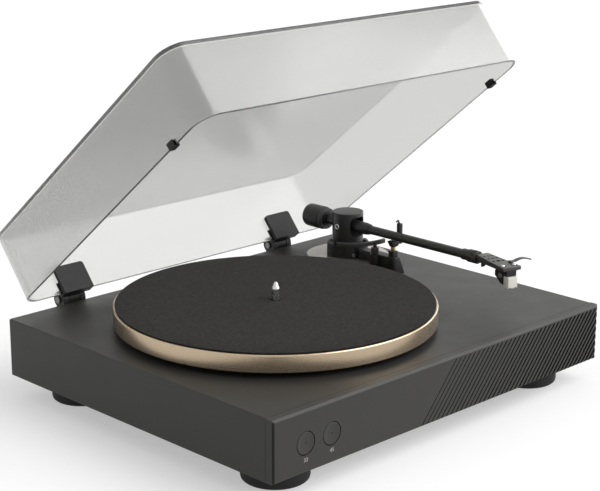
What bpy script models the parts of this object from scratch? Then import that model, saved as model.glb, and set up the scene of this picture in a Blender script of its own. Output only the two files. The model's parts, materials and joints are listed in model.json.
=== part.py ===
"""Turntable with a hinged dust cover, built as separate parts.

Units are metres. +Z is up and the front panel faces -Y. The origin lies on the surface that the feet
stand on, in the middle of the whole object's outline with the cover open. Every size is a named value.
"""
import math

import bmesh
import bpy
from mathutils import Matrix, Vector

# Clearances and small common values
GAP = 0.0003
OVERRUN = 0.002
WELD = 0.00001

# Sides of round shapes, from the smallest to the largest
TINY_ROUND = 10
SMALL_ROUND = 14
ROUND = 20
WIDE_ROUND = 32
FINE_ROUND = 60

# Plinth
PLINTH_WIDTH = 0.432
PLINTH_DEPTH = 0.358
PLINTH_HEIGHT = 0.055
PLINTH_EDGE = 0.0012
TOP_BOARD = 0.012
REBATE_MARGIN = 0.012
COVER_SHEET = 0.0025

# Front panel, its chamfer and its slanted grooves
PANEL_THICKNESS = 0.009
PANEL_CHAMFER = 0.002
GROOVE_START = 0.1766
GROOVE_PITCH = 0.0064
GROOVE_TOP_MARGIN = 0.0032
GROOVE_SLANT = math.radians(41.3)
GROOVE_FIRST_WIDTH = 0.001
GROOVE_LAST_WIDTH = 0.0028
GROOVE_FIRST_DEPTH = 0.0006
GROOVE_LAST_DEPTH = 0.0026

# Feet
FOOT_HEIGHT = 0.0215
FOOT_RADIUS = 0.0297
FOOT_INSET = 0.048
FOOT_EDGE = 0.003
FOOT_EDGE_STEPS = 3

# Platter, mat and spindle
PLATTER_X = -0.0455
PLATTER_Y = -0.0035
PLATTER_RADIUS = 0.150
PLATTER_LIFT = 0.0053
PLATTER_RIM_HEIGHT = 0.016
PLATTER_RIM_WALL = 0.008
PLATTER_WEB = 0.005
PLATTER_EDGE = 0.0008
DRIVE_RING_RADIUS = 0.075
DRIVE_RING_WALL = 0.004
DRIVE_RING_LIFT = 0.0035
HUB_RADIUS = 0.014
MAT_RADIUS = 0.1482
MAT_THICKNESS = 0.0011
MAT_HOLE_RADIUS = 0.0045
SHAFT_RADIUS = 0.004
SPINDLE_RADIUS = 0.0036
SPINDLE_HEIGHT = 0.017
SPINDLE_CONE = 0.006
SPINDLE_TIP_RADIUS = 0.001

# Main bearing
BEARING_WALL = 0.0047
BEARING_FLANGE_RADIUS = 0.024
BEARING_FLANGE = 0.003
BEARING_DEPTH = 0.040
BEARING_FLOOR = 0.004

# Motor, pulley and belt
MOTOR_REACH = 0.0952
MOTOR_ANGLE = math.radians(135)
MOTOR_RADIUS = 0.018
MOTOR_HEIGHT = 0.024
MOTOR_BOSS_RADIUS = 0.005
MOTOR_BOSS_HEIGHT = 0.002
MOTOR_BORE_RADIUS = 0.0013
MOTOR_BORE_DEPTH = 0.012
MOUNT_PLATE = 0.002
MOUNT_MARGIN = 0.001
PULLEY_RADIUS = 0.005
PULLEY_FLANGE = 0.0008
PULLEY_FLANGE_HEIGHT = 0.001
PULLEY_SHAFT_RADIUS = 0.001
PULLEY_WELL_RADIUS = 0.008
BELT_WIDTH = 0.0045
BELT_THICKNESS = 0.0007

# Electronics
BAY_LEFT = -0.060
BAY_RIGHT = 0.100
BAY_FRONT = 0.050
BAY_REAR = 0.166
CHANNEL_WIDTH = 0.010
CHANNEL_DEPTH = 0.012
BOARD_WIDTH = 0.120
BOARD_DEPTH = 0.070
BOARD_SHEET = 0.0016
BOARD_DROP = 0.018
BOARD_POST_RADIUS = 0.003
BOARD_POST_INSET = 0.006
CAPACITOR_RADIUS = 0.006
CAPACITOR_HEIGHT = 0.012
CAPACITOR_SPACING = 0.020
SWITCH_BAY_WIDTH = 0.084
SWITCH_BAY_DEPTH = 0.022
SWITCH_BAY_HEIGHT = 0.034
SWITCH_BOARD_WIDTH = 0.076
SWITCH_BOARD_HEIGHT = 0.026
SWITCH_SIZE = 0.006
SWITCH_HEIGHT = 0.004
SWITCH_POST_RADIUS = 0.0025
SWITCH_POST_INSET = 0.004

# Buttons
BUTTON_RADIUS = 0.0102
BUTTON_RIM = 0.0014
BUTTON_RIM_THICKNESS = 0.0015
BUTTON_EDGE = 0.0005
BUTTON_DISH = 0.0006
BUTTON_LAMP_RADIUS = 0.0009
BUTTON_STEM_RADIUS = 0.003
BUTTON_STEM_LENGTH = 0.004
BUTTON_TRAVEL = 0.0015
BUTTON_FIRST = 0.0364
BUTTON_SPACING = 0.030
BUTTON_HEIGHT = 0.0262

# Terminals at the rear
TERMINAL_X = 0.020
TERMINAL_WIDTH = 0.130
TERMINAL_HEIGHT = 0.032
TERMINAL_SHEET = 0.002
TERMINAL_LIP = 0.003
SOCKET_SPACING = 0.018
TERMINAL_STEP_SHARES = (-2.5, -1.5, 0.5, 2.5)
SOCKET_RADIUS = 0.0042
SOCKET_BORE = 0.0016
SOCKET_BORE_DEPTH = 0.009
SOCKET_LENGTH = 0.009
SOCKET_BACK_RADIUS = 0.006
SOCKET_BACK_LENGTH = 0.008
GROUND_SHANK_RADIUS = 0.002
GROUND_HEAD_RADIUS = 0.005
GROUND_HEAD_LENGTH = 0.006
GROUND_SHANK_LENGTH = 0.010
INLET_WIDTH = 0.014
INLET_HEIGHT = 0.011
INLET_DEPTH = 0.013
INLET_BORE = 0.0029
INLET_PIN = 0.001
INLET_BORE_DEPTH = 0.010

# Dust cover
COVER_WIDTH = 0.4085
COVER_DEPTH = 0.342
COVER_HEIGHT = 0.069
COVER_WALL = 0.003
COVER_CORNER = 0.0213
COVER_OPEN = math.radians(39.66)
COVER_RIM_LIFT = 0.002
BUMPER_REACH = 0.294
BUMPER_LENGTH = 0.009
BUMPER_HEIGHT = 0.005
BUMPER_WALL = 0.0014

# Hinges
HINGE_X = 0.139
HINGE_SETBACK = 0.0084
HINGE_RISE = 0.0024
HINGE_TO_COVER = 0.0132
KNUCKLE_CLEARANCE = 0.0009
KNUCKLE_WIDTH = 0.0134
EAR_EXTRA = 0.0004
HINGE_BASE_WIDTH = 0.026
HINGE_BASE_DROP = 0.034
HINGE_BASE_BACK = 0.004
HINGE_PIN_RADIUS = 0.002
HINGE_PIN_HEAD_RADIUS = 0.0034
HINGE_PIN_HEAD = 0.0016
HINGE_PIN_PROUD = 0.001
CLIP_WIDTH = 0.034
CLIP_HEIGHT = 0.0266
CLIP_FRONT = 0.004
CLIP_BACK = 0.002
CLIP_BACK_HEIGHT = 0.012
CLIP_WEB = 0.0013
CLIP_CORNER = 0.003
CLIP_CORNER_STEPS = 4
CLIP_ARM_HEIGHT = 0.006
CLIP_ARM_LIFT = 0.000325
CLIP_ARM_END = 0.00375

# Tonearm: places of its axes, across and behind the spindle
ARM_ACROSS = 0.1975
ARM_BEHIND = 0.098
ARM_AXIS_HEIGHT = 0.0393

# Tonearm base
ARM_PLATE_RADIUS = 0.043
ARM_PLATE_SHEET = 0.0072
ARM_PLATE_EDGE = 0.0006
DRUM_RADIUS = 0.0215
DRUM_WALL = 0.002
DRUM_HEIGHT = 0.0204
DRUM_FLOOR_HEIGHT = 0.0183
SPIGOT_RADIUS = 0.0094
SPIGOT_DEPTH = 0.014
BEAM_X = -0.002
BEAM_WIDTH = 0.011
BEAM_HEIGHT = 0.0181
BEAM_LENGTH = 0.072
BEAM_FOOT_LEAN = 0.007
BEAM_STEP_LENGTH = 0.0455
REST_BOX = 0.007
REST_BOX_HEIGHT = 0.0057

# Vertical pillar and swinging housing
PILLAR_RADIUS = 0.005
PILLAR_DROP = 0.012
PILLAR_GRIP = 0.0052
HOUSING_RADIUS = 0.0162
HOUSING_BOTTOM = 0.022
HOUSING_TOP = 0.0533
HOUSING_EDGE = 0.0006
NECK_RADIUS = 0.0146
WINDOW_WIDTH = 0.0198
WINDOW_HEIGHT = 0.0202
WINDOW_CORNER = 0.006
WINDOW_CORNER_STEPS = 4
PIVOT_HEAD_RADIUS = 0.0027
PIVOT_PROUD = 0.0004
PIVOT_SHANK_RADIUS = 0.0016
PIVOT_TIP_RADIUS = 0.0009
PIVOT_TIP_LENGTH = 0.0014
AXLE_RADIUS = 0.0019
AXLE_PROUD = 0.0016

# Arm tube, its root block and the locking ring
BLOCK_WIDTH = 0.013
BLOCK_LENGTH = 0.014
BLOCK_HEIGHT = 0.013
ROOT_START = 0.0035
ROOT_RADIUS = 0.0062
ROOT_LENGTH = 0.027
ROOT_TAPER = 0.005
ROOT_TAPER_WALL = 0.0006
TUBE_RADIUS = 0.0045
TUBE_WALL = 0.0008
TUBE_START = 0.018
TUBE_END = 0.1692
TUBE_COLLAR_RADIUS = 0.0055
TUBE_COLLAR_START = 0.1569
RING_RADIUS = 0.0064
RING_START = 0.1643
RING_LENGTH = 0.012
RING_GROOVE = 0.0006
RING_GROOVE_WIDTH = 0.0008
RING_EDGE = 0.0006

# Headshell
SHELL_START = 0.1821
SHELL_OFFSET = math.radians(18)
SHELL_RISE = 0.0048
SHELL_LENGTH = 0.050
SHELL_REAR_WIDTH = 0.0138
SHELL_FRONT_WIDTH = 0.021
SHELL_REAR_HEIGHT = 0.0065
SHELL_FRONT_HEIGHT = 0.0034
SHELL_SHEET = 0.0016
SHELL_SKIRT = 0.001
SHELL_SOLID_REAR = 0.005
SHELL_HOLE_RADII = (0.0011, 0.0014, 0.0017)
SHELL_HOLE_ROW_SHARES = (0.20, 0.36, 0.54)
SHELL_HOLE_SIDE_SHARE = 0.27
SHELL_RECESS_RADIUS = 0.0029
SHELL_RECESS_DEPTH = 0.001
FINGER_LENGTH = 0.021
FINGER_WIDTH = 0.0055
FINGER_TIP_WIDTH = 0.003
FINGER_SHEET = 0.0008
FINGER_RISE = 0.0018
FINGER_ROOT = 0.003
FINGER_SETBACK = 0.015
FINGER_FLAT_SHARE = 0.25
FINGER_BEND_SHARE = 0.74
FINGER_STEPS = 12

# Cartridge and stylus unit; setbacks are measured from the headshell's front edge
CARTRIDGE_FLANGE = 0.0028
CARTRIDGE_REAR_SETBACK = 0.020
CARTRIDGE_FLANGE_LENGTH = 0.017
CARTRIDGE_WIDTH = 0.011
CARTRIDGE_NOSE_SETBACK = 0.001
CARTRIDGE_NOSE_HEIGHT = 0.0045
CARTRIDGE_FACE_SETBACK = 0.007
CARTRIDGE_DROP = 0.0185
SCREW_SPACING = 0.0127
SCREW_SETBACK = 0.007
SCREW_RADIUS = 0.001
SCREW_HEAD_RADIUS = 0.0021
SCREW_HEAD = 0.0018
SCREW_GRIP = 0.0009
SCREW_CLEARANCE = 0.0002
STYLUS_PROUD = 0.0015
STYLUS_BOTTOM = 0.0204
STYLUS_CORNER = 0.0016
STYLUS_TIP_SETBACK = 0.0005
STYLUS_CORNER_STEPS = 3
STYLUS_TIP_RADIUS = 0.0005
STYLUS_TIP_DROP = 0.0007

# Counterweight group, measured behind the pivot
STUB_RADIUS = 0.0049
STUB_END = 0.052
SLEEVE_WALL = 0.0018
SLEEVE_START = 0.0278
SLEEVE_HUB = 0.0015
SLEEVE_HUB_EXTRA = 0.0003
SLEEVE_LENGTH = 0.022
DIAL_RADIUS = 0.0115
DIAL_START = 0.0296
DIAL_LENGTH = 0.0046
WEIGHT_RADIUS = 0.0121
WEIGHT_END = 0.0567
WEIGHT_EDGE = 0.0032
WEIGHT_EDGE_STEPS = 5

# Cueing lift
LIFT_REACH = 0.0474
LIFT_ANGLE = math.radians(-100)
LIFT_BOSS_RADIUS = 0.0055
LIFT_BOSS_HEIGHT = 0.0183
LIFT_RADIUS = 0.004
LIFT_TOP = 0.0251
LIFT_FLOOR = 0.001
ROD_RADIUS = 0.0018
BAR_THICKNESS = 0.003
BAR_BOTTOM = 0.0276
BAR_HEIGHT = 0.0045
BAR_START = math.radians(-150)
BAR_SWEEP = math.radians(66)
BAR_STEPS = 22
LEVER_REACH = 0.040
LEVER_HEIGHT = 0.013
LEVER_SHAFT_RADIUS = 0.0015
LEVER_SHAFT_DEPTH = 0.006
LEVER_OFFSET = 0.0055
LEVER_THICKNESS = 0.0025
LEVER_WIDTH = 0.0035
LEVER_ARM_HEIGHT = 0.00175
LEVER_LENGTH = 0.019
LEVER_PAD_RADIUS = 0.0028

# Arm rest and clip
REST_REACH = 0.0652
REST_X = -0.001
REST_WIDTH = 0.0115
REST_LENGTH = 0.007
REST_BOTTOM = 0.0282
REST_TUBE_CLEARANCE = 0.0004
REST_WALL_CLEARANCE = 0.0008
REST_FOOT_SHARE = 0.45
POST_RADIUS = 0.003
POST_TOP = 0.0509
POST_ROOT = 0.00175
REST_SCREW_RADIUS = 0.0017
REST_SCREW_HEAD_RADIUS = 0.0027
REST_SCREW_HEAD = 0.0024
REST_SCREW_GRIP = 0.0022
CLIP_BLADE = 0.0016
CLIP_SLOT_DEPTH = 0.003
CLIP_EYE_RADIUS = 0.0011
CLIP_REACH = 0.0062
CLIP_HOOK = 0.0032
CLIP_LEAN = math.radians(-25)

# Anti-skate knob
SKATE_RADIUS = 0.005
SKATE_LENGTH = 0.006
SKATE_HEIGHT = 0.0139
SKATE_SHAFT_RADIUS = 0.0015
SKATE_SHAFT_DEPTH = 0.005
SKATE_FLAT = 0.0006
SKATE_MARK_START = 0.0017

# Heights and places that follow from the sizes above
UNDERSIDE = FOOT_HEIGHT
TOP = UNDERSIDE + PLINTH_HEIGHT
HINGE_BACK = PLINTH_DEPTH / 2 + HINGE_SETBACK
RIM_DROP = HINGE_RISE - COVER_RIM_LIFT
COVER_BACK = (HINGE_BACK - HINGE_TO_COVER * math.cos(COVER_OPEN)
              + (COVER_HEIGHT - RIM_DROP) * math.sin(COVER_OPEN))
CENTRE_Y = (PLINTH_DEPTH / 2 - COVER_BACK) / 2
PLATTER_BOTTOM = TOP + PLATTER_LIFT
PLATTER_TOP = PLATTER_BOTTOM + PLATTER_RIM_HEIGHT
WEB_UNDERSIDE = PLATTER_TOP - PLATTER_WEB
MAT_TOP = PLATTER_TOP + GAP + MAT_THICKNESS
BEARING_BORE = SHAFT_RADIUS + GAP
BEARING_RADIUS = BEARING_BORE + BEARING_WALL
BEARING_FLANGE_TOP = TOP + GAP + BEARING_FLANGE
ARM_X = PLATTER_X + ARM_ACROSS
ARM_Y = PLATTER_Y + ARM_BEHIND
MOTOR_X = PLATTER_X + MOTOR_REACH * math.cos(MOTOR_ANGLE)
MOTOR_Y = PLATTER_Y + MOTOR_REACH * math.sin(MOTOR_ANGLE)
POCKET_RADIUS = MOTOR_RADIUS + MOUNT_MARGIN + GAP
POCKET_CEILING = TOP - TOP_BOARD
MOTOR_TOP = POCKET_CEILING - 2 * GAP - MOUNT_PLATE
PANEL_FRONT = -PLINTH_DEPTH / 2
PANEL_BACK = PANEL_FRONT + PANEL_THICKNESS
BODY_FRONT = PANEL_BACK + GAP
REBATE_DEPTH = COVER_SHEET + GAP
BUTTON_Z = UNDERSIDE + BUTTON_HEIGHT
BUTTON_XS = (-PLINTH_WIDTH / 2 + BUTTON_FIRST, -PLINTH_WIDTH / 2 + BUTTON_FIRST + BUTTON_SPACING)
BUTTON_BACK = PANEL_BACK + GAP + BUTTON_RIM_THICKNESS + BUTTON_STEM_LENGTH
SWITCH_BOARD_FACE = BUTTON_BACK + BUTTON_TRAVEL + GAP + SWITCH_HEIGHT
KNUCKLE_RADIUS = HINGE_SETBACK - KNUCKLE_CLEARANCE
BORE_FOR_HINGE_PIN = HINGE_PIN_RADIUS + GAP
TUBE_BORE_IN_ROOT = TUBE_RADIUS + GAP
SLEEVE_BORE = STUB_RADIUS + GAP
SLEEVE_RADIUS = SLEEVE_BORE + SLEEVE_WALL
SLEEVE_HUB_RADIUS = SLEEVE_RADIUS + SLEEVE_HUB_EXTRA
WEIGHT_START = DIAL_START + DIAL_LENGTH + GAP
DRUM_BOTTOM = ARM_PLATE_SHEET + 2 * GAP
CARTRIDGE_REAR = SHELL_LENGTH - CARTRIDGE_REAR_SETBACK
CARTRIDGE_NOSE = SHELL_LENGTH - CARTRIDGE_NOSE_SETBACK
CARTRIDGE_FACE = SHELL_LENGTH - CARTRIDGE_FACE_SETBACK
SCREW_REACH = SHELL_LENGTH - SCREW_SETBACK
STYLUS_FRONT = SHELL_LENGTH + STYLUS_PROUD
STYLUS_TIP_REACH = SHELL_LENGTH - STYLUS_TIP_SETBACK
SHELL_UNDERSIDE = -SHELL_SHEET
FLANGE_TOP = SHELL_UNDERSIDE - GAP
FLANGE_BOTTOM = FLANGE_TOP - CARTRIDGE_FLANGE
NOSE_BOTTOM = FLANGE_BOTTOM - CARTRIDGE_NOSE_HEIGHT
RING_BORE = TUBE_RADIUS + GAP
ALONG_X = (0.0, math.pi / 2, 0.0)
FACING_FRONT = (math.pi / 2, 0.0, 0.0)
FACING_REAR = (-math.pi / 2, 0.0, 0.0)


def clear_scene():
    """Remove the objects that are already in the scene."""
    for old in list(bpy.data.objects):
        bpy.data.objects.remove(old, do_unlink=True)


def new_collection(name):
    """Add a collection to the scene."""
    collection = bpy.data.collections.new(name)
    bpy.context.scene.collection.children.link(collection)
    return collection


clear_scene()
PARTS = new_collection("turntable")
CUTTERS = new_collection("turntable_cutters")


def make_material(name, colour, roughness, metallic=0.0):
    """Make a Principled BSDF material."""
    material = bpy.data.materials.new(name)
    material.use_nodes = True
    shader = material.node_tree.nodes["Principled BSDF"]
    shader.inputs["Base Color"].default_value = (*colour, 1.0)
    shader.inputs["Roughness"].default_value = roughness
    shader.inputs["Metallic"].default_value = metallic
    material.diffuse_color = (*colour, 1.0)
    return material


def make_frame(name, location, parent=None, rotation=(0.0, 0.0, 0.0)):
    """Make an empty that carries pieces."""
    frame = bpy.data.objects.new(name, None)
    PARTS.objects.link(frame)
    frame.location = location
    frame.rotation_euler = rotation
    frame.parent = parent
    return frame


def add_object(name, bm, parent, location=(0.0, 0.0, 0.0), rotation=(0.0, 0.0, 0.0), finish=None):
    """Turn a bmesh into an object; without a finish it is a cutter or a guide."""
    mesh = bpy.data.meshes.new(name)
    bm.to_mesh(mesh)
    bm.free()
    obj = bpy.data.objects.new(name, mesh)
    obj.parent = parent
    obj.location = location
    obj.rotation_euler = rotation
    if finish is None:
        CUTTERS.objects.link(obj)
        obj.hide_render = True
        obj.display_type = "WIRE"
        return obj
    PARTS.objects.link(obj)
    mesh.materials.append(make_material(name, *finish))
    mesh.shade_smooth()
    mesh.set_sharp_from_angle(angle=math.radians(35))
    return obj


def box_bmesh(size, centre=(0.0, 0.0, 0.0)):
    """Make a box of a size about a centre."""
    bm = bmesh.new()
    bmesh.ops.create_cube(bm, size=1)
    bmesh.ops.scale(bm, vec=size, verts=bm.verts)
    bmesh.ops.translate(bm, vec=centre, verts=bm.verts)
    return bm


def span_bmesh(low, high):
    """Make a box between two corners."""
    size = tuple(b - a for a, b in zip(low, high))
    centre = tuple((a + b) / 2 for a, b in zip(low, high))
    return box_bmesh(size, centre)


def bevel_where(bm, chosen, width, segments=1):
    """Bevel the edges that a test picks."""
    edges = [edge for edge in bm.edges if chosen(edge)]
    bmesh.ops.bevel(bm, geom=edges, offset=width, segments=segments, profile=0.5,
                    affect="EDGES", offset_type="OFFSET")


def runs_along(edge, axis):
    """Say whether an edge runs along one axis."""
    change = edge.verts[1].co - edge.verts[0].co
    others = [abs(change[i]) for i in range(3) if i != axis]
    return abs(change[axis]) > max(others)


def rod_bmesh(radius, start, end, axis=2, segments=ROUND):
    """Make a cylinder between two places on one axis."""
    bm = bmesh.new()
    bmesh.ops.create_cone(bm, cap_ends=True, segments=segments, radius1=radius, radius2=radius,
                          depth=abs(end - start))
    turns = {0: Matrix.Rotation(math.pi / 2, 4, "Y"), 1: Matrix.Rotation(math.pi / 2, 4, "X"),
             2: Matrix.Identity(4)}
    bmesh.ops.transform(bm, matrix=turns[axis], verts=bm.verts)
    middle = Vector((0.0, 0.0, 0.0))
    middle[axis] = (start + end) / 2
    bmesh.ops.translate(bm, vec=middle, verts=bm.verts)
    return bm


def move_bmesh(bm, offset):
    """Move a bmesh and hand it back."""
    bmesh.ops.translate(bm, vec=offset, verts=bm.verts)
    return bm


def merge_bmeshes(pieces):
    """Put several separate shapes into one bmesh, for a cutter."""
    merged = bmesh.new()
    for piece in pieces:
        holder = bpy.data.meshes.new("holder")
        piece.to_mesh(holder)
        piece.free()
        merged.from_mesh(holder)
        bpy.data.meshes.remove(holder)
    return merged


def apply_boolean(obj, tool, operation="DIFFERENCE"):
    """Add a Boolean modifier that uses another object."""
    modifier = obj.modifiers.new(operation.lower(), "BOOLEAN")
    modifier.operation = operation
    modifier.solver = "EXACT"
    modifier.object = tool
    return obj


def cut(obj, bm, name):
    """Cut a shape, given in the object's own frame, out of the object."""
    tool = add_object(obj.name + "_" + name, bm, obj.parent, obj.location, obj.rotation_euler)
    return apply_boolean(obj, tool)


def join(obj, bm, name):
    """Join a shape, given in the object's own frame, to the object."""
    tool = add_object(obj.name + "_" + name, bm, obj.parent, obj.location, obj.rotation_euler)
    return apply_boolean(obj, tool, "UNION")


def turned(name, profile, closed, parent, location, rotation=(0.0, 0.0, 0.0), finish=None, segments=ROUND):
    """Turn a profile of (radius, height) points about the local Z axis; a ring's profile is closed."""
    bm = bmesh.new()
    points = [bm.verts.new((radius, 0.0, height)) for radius, height in profile]
    pairs = list(zip(points, points[1:]))
    if closed:
        pairs.append((points[-1], points[0]))
    for first, second in pairs:
        bm.edges.new((first, second))
    obj = add_object(name, bm, parent, location, rotation, finish)
    screw = obj.modifiers.new("turn", "SCREW")
    screw.axis = "Z"
    screw.angle = math.tau
    screw.steps = segments
    screw.render_steps = segments
    screw.use_merge_vertices = True
    screw.merge_threshold = WELD
    screw.use_smooth_shade = True
    return obj


def solid_profile(radius, top, bottom):
    """Give a plain cylinder's profile."""
    return [(0.0, top), (radius, top), (radius, bottom), (0.0, bottom)]


def ring_profile(outer, inner, top, bottom, edge=0.0):
    """Give a plain ring's profile; with an edge, both outer rims are chamfered."""
    if edge:
        return [(outer - edge, top), (outer, top - edge), (outer, bottom + edge), (outer - edge, bottom),
                (inner, bottom), (inner, top)]
    return [(outer, top), (outer, bottom), (inner, bottom), (inner, top)]


BASE = make_frame("base_frame", (0.0, CENTRE_Y, 0.0))

BLACK_PLASTIC = ((0.018, 0.018, 0.018), 0.45)
SATIN_BLACK = ((0.022, 0.022, 0.021), 0.42, 0.2)
DARK_PAINT = ((0.078, 0.076, 0.070), 0.42, 0.2)
GOLD = ((0.62, 0.54, 0.43), 0.32, 1.0)
STEEL = ((0.62, 0.62, 0.61), 0.25, 1.0)
BRASS = ((0.72, 0.52, 0.24), 0.3, 1.0)
FELT = ((0.035, 0.034, 0.033), 0.95)
RUBBER = ((0.02, 0.02, 0.02), 0.85)
BOARD_GREEN = ((0.02, 0.12, 0.05), 0.5)
CLEAR = ((0.75, 0.76, 0.76), 0.05)
GREY_PAINT = ((0.42, 0.40, 0.37), 0.45, 0.1)
WHITE_PLASTIC = ((0.8, 0.8, 0.79), 0.3)


def is_outer_edge(edge):
    """Pick the plinth's top edges and upright edges, except those at the front panel."""
    front = all(vert.co.y < BODY_FRONT + GAP for vert in edge.verts)
    low = all(vert.co.z < UNDERSIDE + GAP for vert in edge.verts)
    return not front and not low


def make_plinth():
    """Make the plinth with its bores, pockets, wiring channels and the rebate for the bottom cover."""
    bm = span_bmesh((-PLINTH_WIDTH / 2, BODY_FRONT, UNDERSIDE), (PLINTH_WIDTH / 2, PLINTH_DEPTH / 2, TOP))
    bevel_where(bm, is_outer_edge, PLINTH_EDGE)
    plinth = add_object("plinth", bm, BASE, finish=DARK_PAINT)
    floor = UNDERSIDE - OVERRUN
    half_width = PLINTH_WIDTH / 2 - REBATE_MARGIN
    half_depth = PLINTH_DEPTH / 2 - REBATE_MARGIN
    rebate = span_bmesh((-half_width, -half_depth, floor), (half_width, half_depth, UNDERSIDE + REBATE_DEPTH))
    cut(plinth, rebate, "rebate")
    bores = [
        move_bmesh(rod_bmesh(BEARING_RADIUS + GAP, floor, TOP + OVERRUN), (PLATTER_X, PLATTER_Y, 0.0)),
        move_bmesh(rod_bmesh(SPIGOT_RADIUS + GAP, TOP - SPIGOT_DEPTH - OVERRUN, TOP + OVERRUN),
                   (ARM_X, ARM_Y, 0.0)),
    ]
    cut(plinth, merge_bmeshes(bores), "bores")
    pocket = move_bmesh(rod_bmesh(POCKET_RADIUS, floor, POCKET_CEILING), (MOTOR_X, MOTOR_Y, 0.0))
    cut(plinth, pocket, "motor_pocket")
    well = rod_bmesh(PULLEY_WELL_RADIUS, POCKET_CEILING - OVERRUN, TOP + OVERRUN)
    cut(plinth, move_bmesh(well, (MOTOR_X, MOTOR_Y, 0.0)), "pulley_well")
    bay = span_bmesh((BAY_LEFT, BAY_FRONT, floor), (BAY_RIGHT, BAY_REAR, POCKET_CEILING))
    cut(plinth, bay, "bay")
    switch_left = sum(BUTTON_XS) / 2 - SWITCH_BAY_WIDTH / 2
    switch_right = switch_left + SWITCH_BAY_WIDTH
    switch_back = BODY_FRONT + SWITCH_BAY_DEPTH
    switch_bay = span_bmesh(
        (switch_left, BODY_FRONT - OVERRUN, BUTTON_Z - SWITCH_BAY_HEIGHT / 2),
        (switch_right, switch_back, BUTTON_Z + SWITCH_BAY_HEIGHT / 2))
    cut(plinth, switch_bay, "switch_bay")
    channel_top = UNDERSIDE + REBATE_DEPTH + CHANNEL_DEPTH
    across = span_bmesh((switch_right - CHANNEL_WIDTH / 2, MOTOR_Y - CHANNEL_WIDTH / 2, floor),
                        (BAY_LEFT + OVERRUN, MOTOR_Y + CHANNEL_WIDTH / 2, channel_top))
    cut(plinth, across, "channel_across")
    along = span_bmesh((switch_right - CHANNEL_WIDTH, switch_back - OVERRUN, floor - OVERRUN),
                       (switch_right, MOTOR_Y, channel_top + OVERRUN))
    cut(plinth, along, "channel_along")
    panel_z = UNDERSIDE + PLINTH_HEIGHT / 2
    rear = PLINTH_DEPTH / 2
    plate = box_bmesh((TERMINAL_WIDTH, 2 * (TERMINAL_SHEET + GAP), TERMINAL_HEIGHT),
                      (TERMINAL_X, rear, panel_z))
    cut(plinth, plate, "terminal_rebate")
    window = span_bmesh(
        (TERMINAL_X - TERMINAL_WIDTH / 2 + TERMINAL_LIP, BAY_REAR - OVERRUN,
         panel_z - TERMINAL_HEIGHT / 2 + TERMINAL_LIP),
        (TERMINAL_X + TERMINAL_WIDTH / 2 - TERMINAL_LIP, rear + OVERRUN,
         panel_z + TERMINAL_HEIGHT / 2 - TERMINAL_LIP))
    cut(plinth, window, "terminal_window")
    return plinth


def groove_cutter():
    """Make the slanted bars whose width and depth grow from left to right."""
    left = -PLINTH_WIDTH / 2
    slope = math.tan(GROOVE_SLANT)
    count = int((PLINTH_WIDTH - GROOVE_START) / GROOVE_PITCH) + 1
    low = UNDERSIDE - OVERRUN
    high = TOP - GROOVE_TOP_MARGIN
    bars = []
    for index in range(count):
        share = index / (count - 1)
        width = GROOVE_FIRST_WIDTH + (GROOVE_LAST_WIDTH - GROOVE_FIRST_WIDTH) * share
        depth = GROOVE_FIRST_DEPTH + (GROOVE_LAST_DEPTH - GROOVE_FIRST_DEPTH) * share
        wide = width / math.cos(GROOVE_SLANT)
        start = left + GROOVE_START + index * GROOVE_PITCH
        bar = span_bmesh((start - wide / 2, PANEL_FRONT - OVERRUN, low),
                         (start + wide / 2, PANEL_FRONT + depth, high))
        for vert in bar.verts:
            vert.co.x += slope * (vert.co.z - UNDERSIDE)
        bars.append(bar)
    return merge_bmeshes(bars)


def make_front_panel():
    """Make the front panel with its chamfer, grooves and button holes."""
    bm = span_bmesh((-PLINTH_WIDTH / 2, PANEL_FRONT, UNDERSIDE), (PLINTH_WIDTH / 2, PANEL_BACK, TOP))
    bevel_where(bm, lambda edge: all(vert.co.y < PANEL_FRONT + GAP for vert in edge.verts), PANEL_CHAMFER)
    panel = add_object("front_panel", bm, BASE, finish=DARK_PAINT)
    cut(panel, groove_cutter(), "grooves")
    for x in BUTTON_XS:
        hole = rod_bmesh(BUTTON_RADIUS + GAP, PANEL_FRONT - OVERRUN, PANEL_BACK + OVERRUN, axis=1)
        cut(panel, move_bmesh(hole, (x, 0.0, BUTTON_Z)), "button_hole")
    return panel


def make_bottom_cover():
    """Make the sheet that closes the plinth from below."""
    half_width = PLINTH_WIDTH / 2 - REBATE_MARGIN - GAP
    half_depth = PLINTH_DEPTH / 2 - REBATE_MARGIN - GAP
    bm = span_bmesh((-half_width, -half_depth, UNDERSIDE), (half_width, half_depth, UNDERSIDE + COVER_SHEET))
    return add_object("bottom_cover", bm, BASE, finish=BLACK_PLASTIC)


def make_feet():
    """Make the four round feet with a softened lower edge."""
    profile = [(0.0, FOOT_HEIGHT - GAP), (FOOT_RADIUS, FOOT_HEIGHT - GAP), (FOOT_RADIUS, FOOT_EDGE)]
    for step in range(1, FOOT_EDGE_STEPS + 1):
        angle = step / FOOT_EDGE_STEPS * math.pi / 2
        profile.append((FOOT_RADIUS - FOOT_EDGE * (1 - math.cos(angle)), FOOT_EDGE * (1 - math.sin(angle))))
    profile.append((0.0, 0.0))
    for row, side_y in (("front", -1), ("rear", 1)):
        for column, side_x in (("left", -1), ("right", 1)):
            place = (side_x * (PLINTH_WIDTH / 2 - FOOT_INSET), side_y * (PLINTH_DEPTH / 2 - FOOT_INSET), 0.0)
            turned("foot_" + row + "_" + column, profile, False, BASE, place, finish=RUBBER,
                   segments=WIDE_ROUND)


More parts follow.
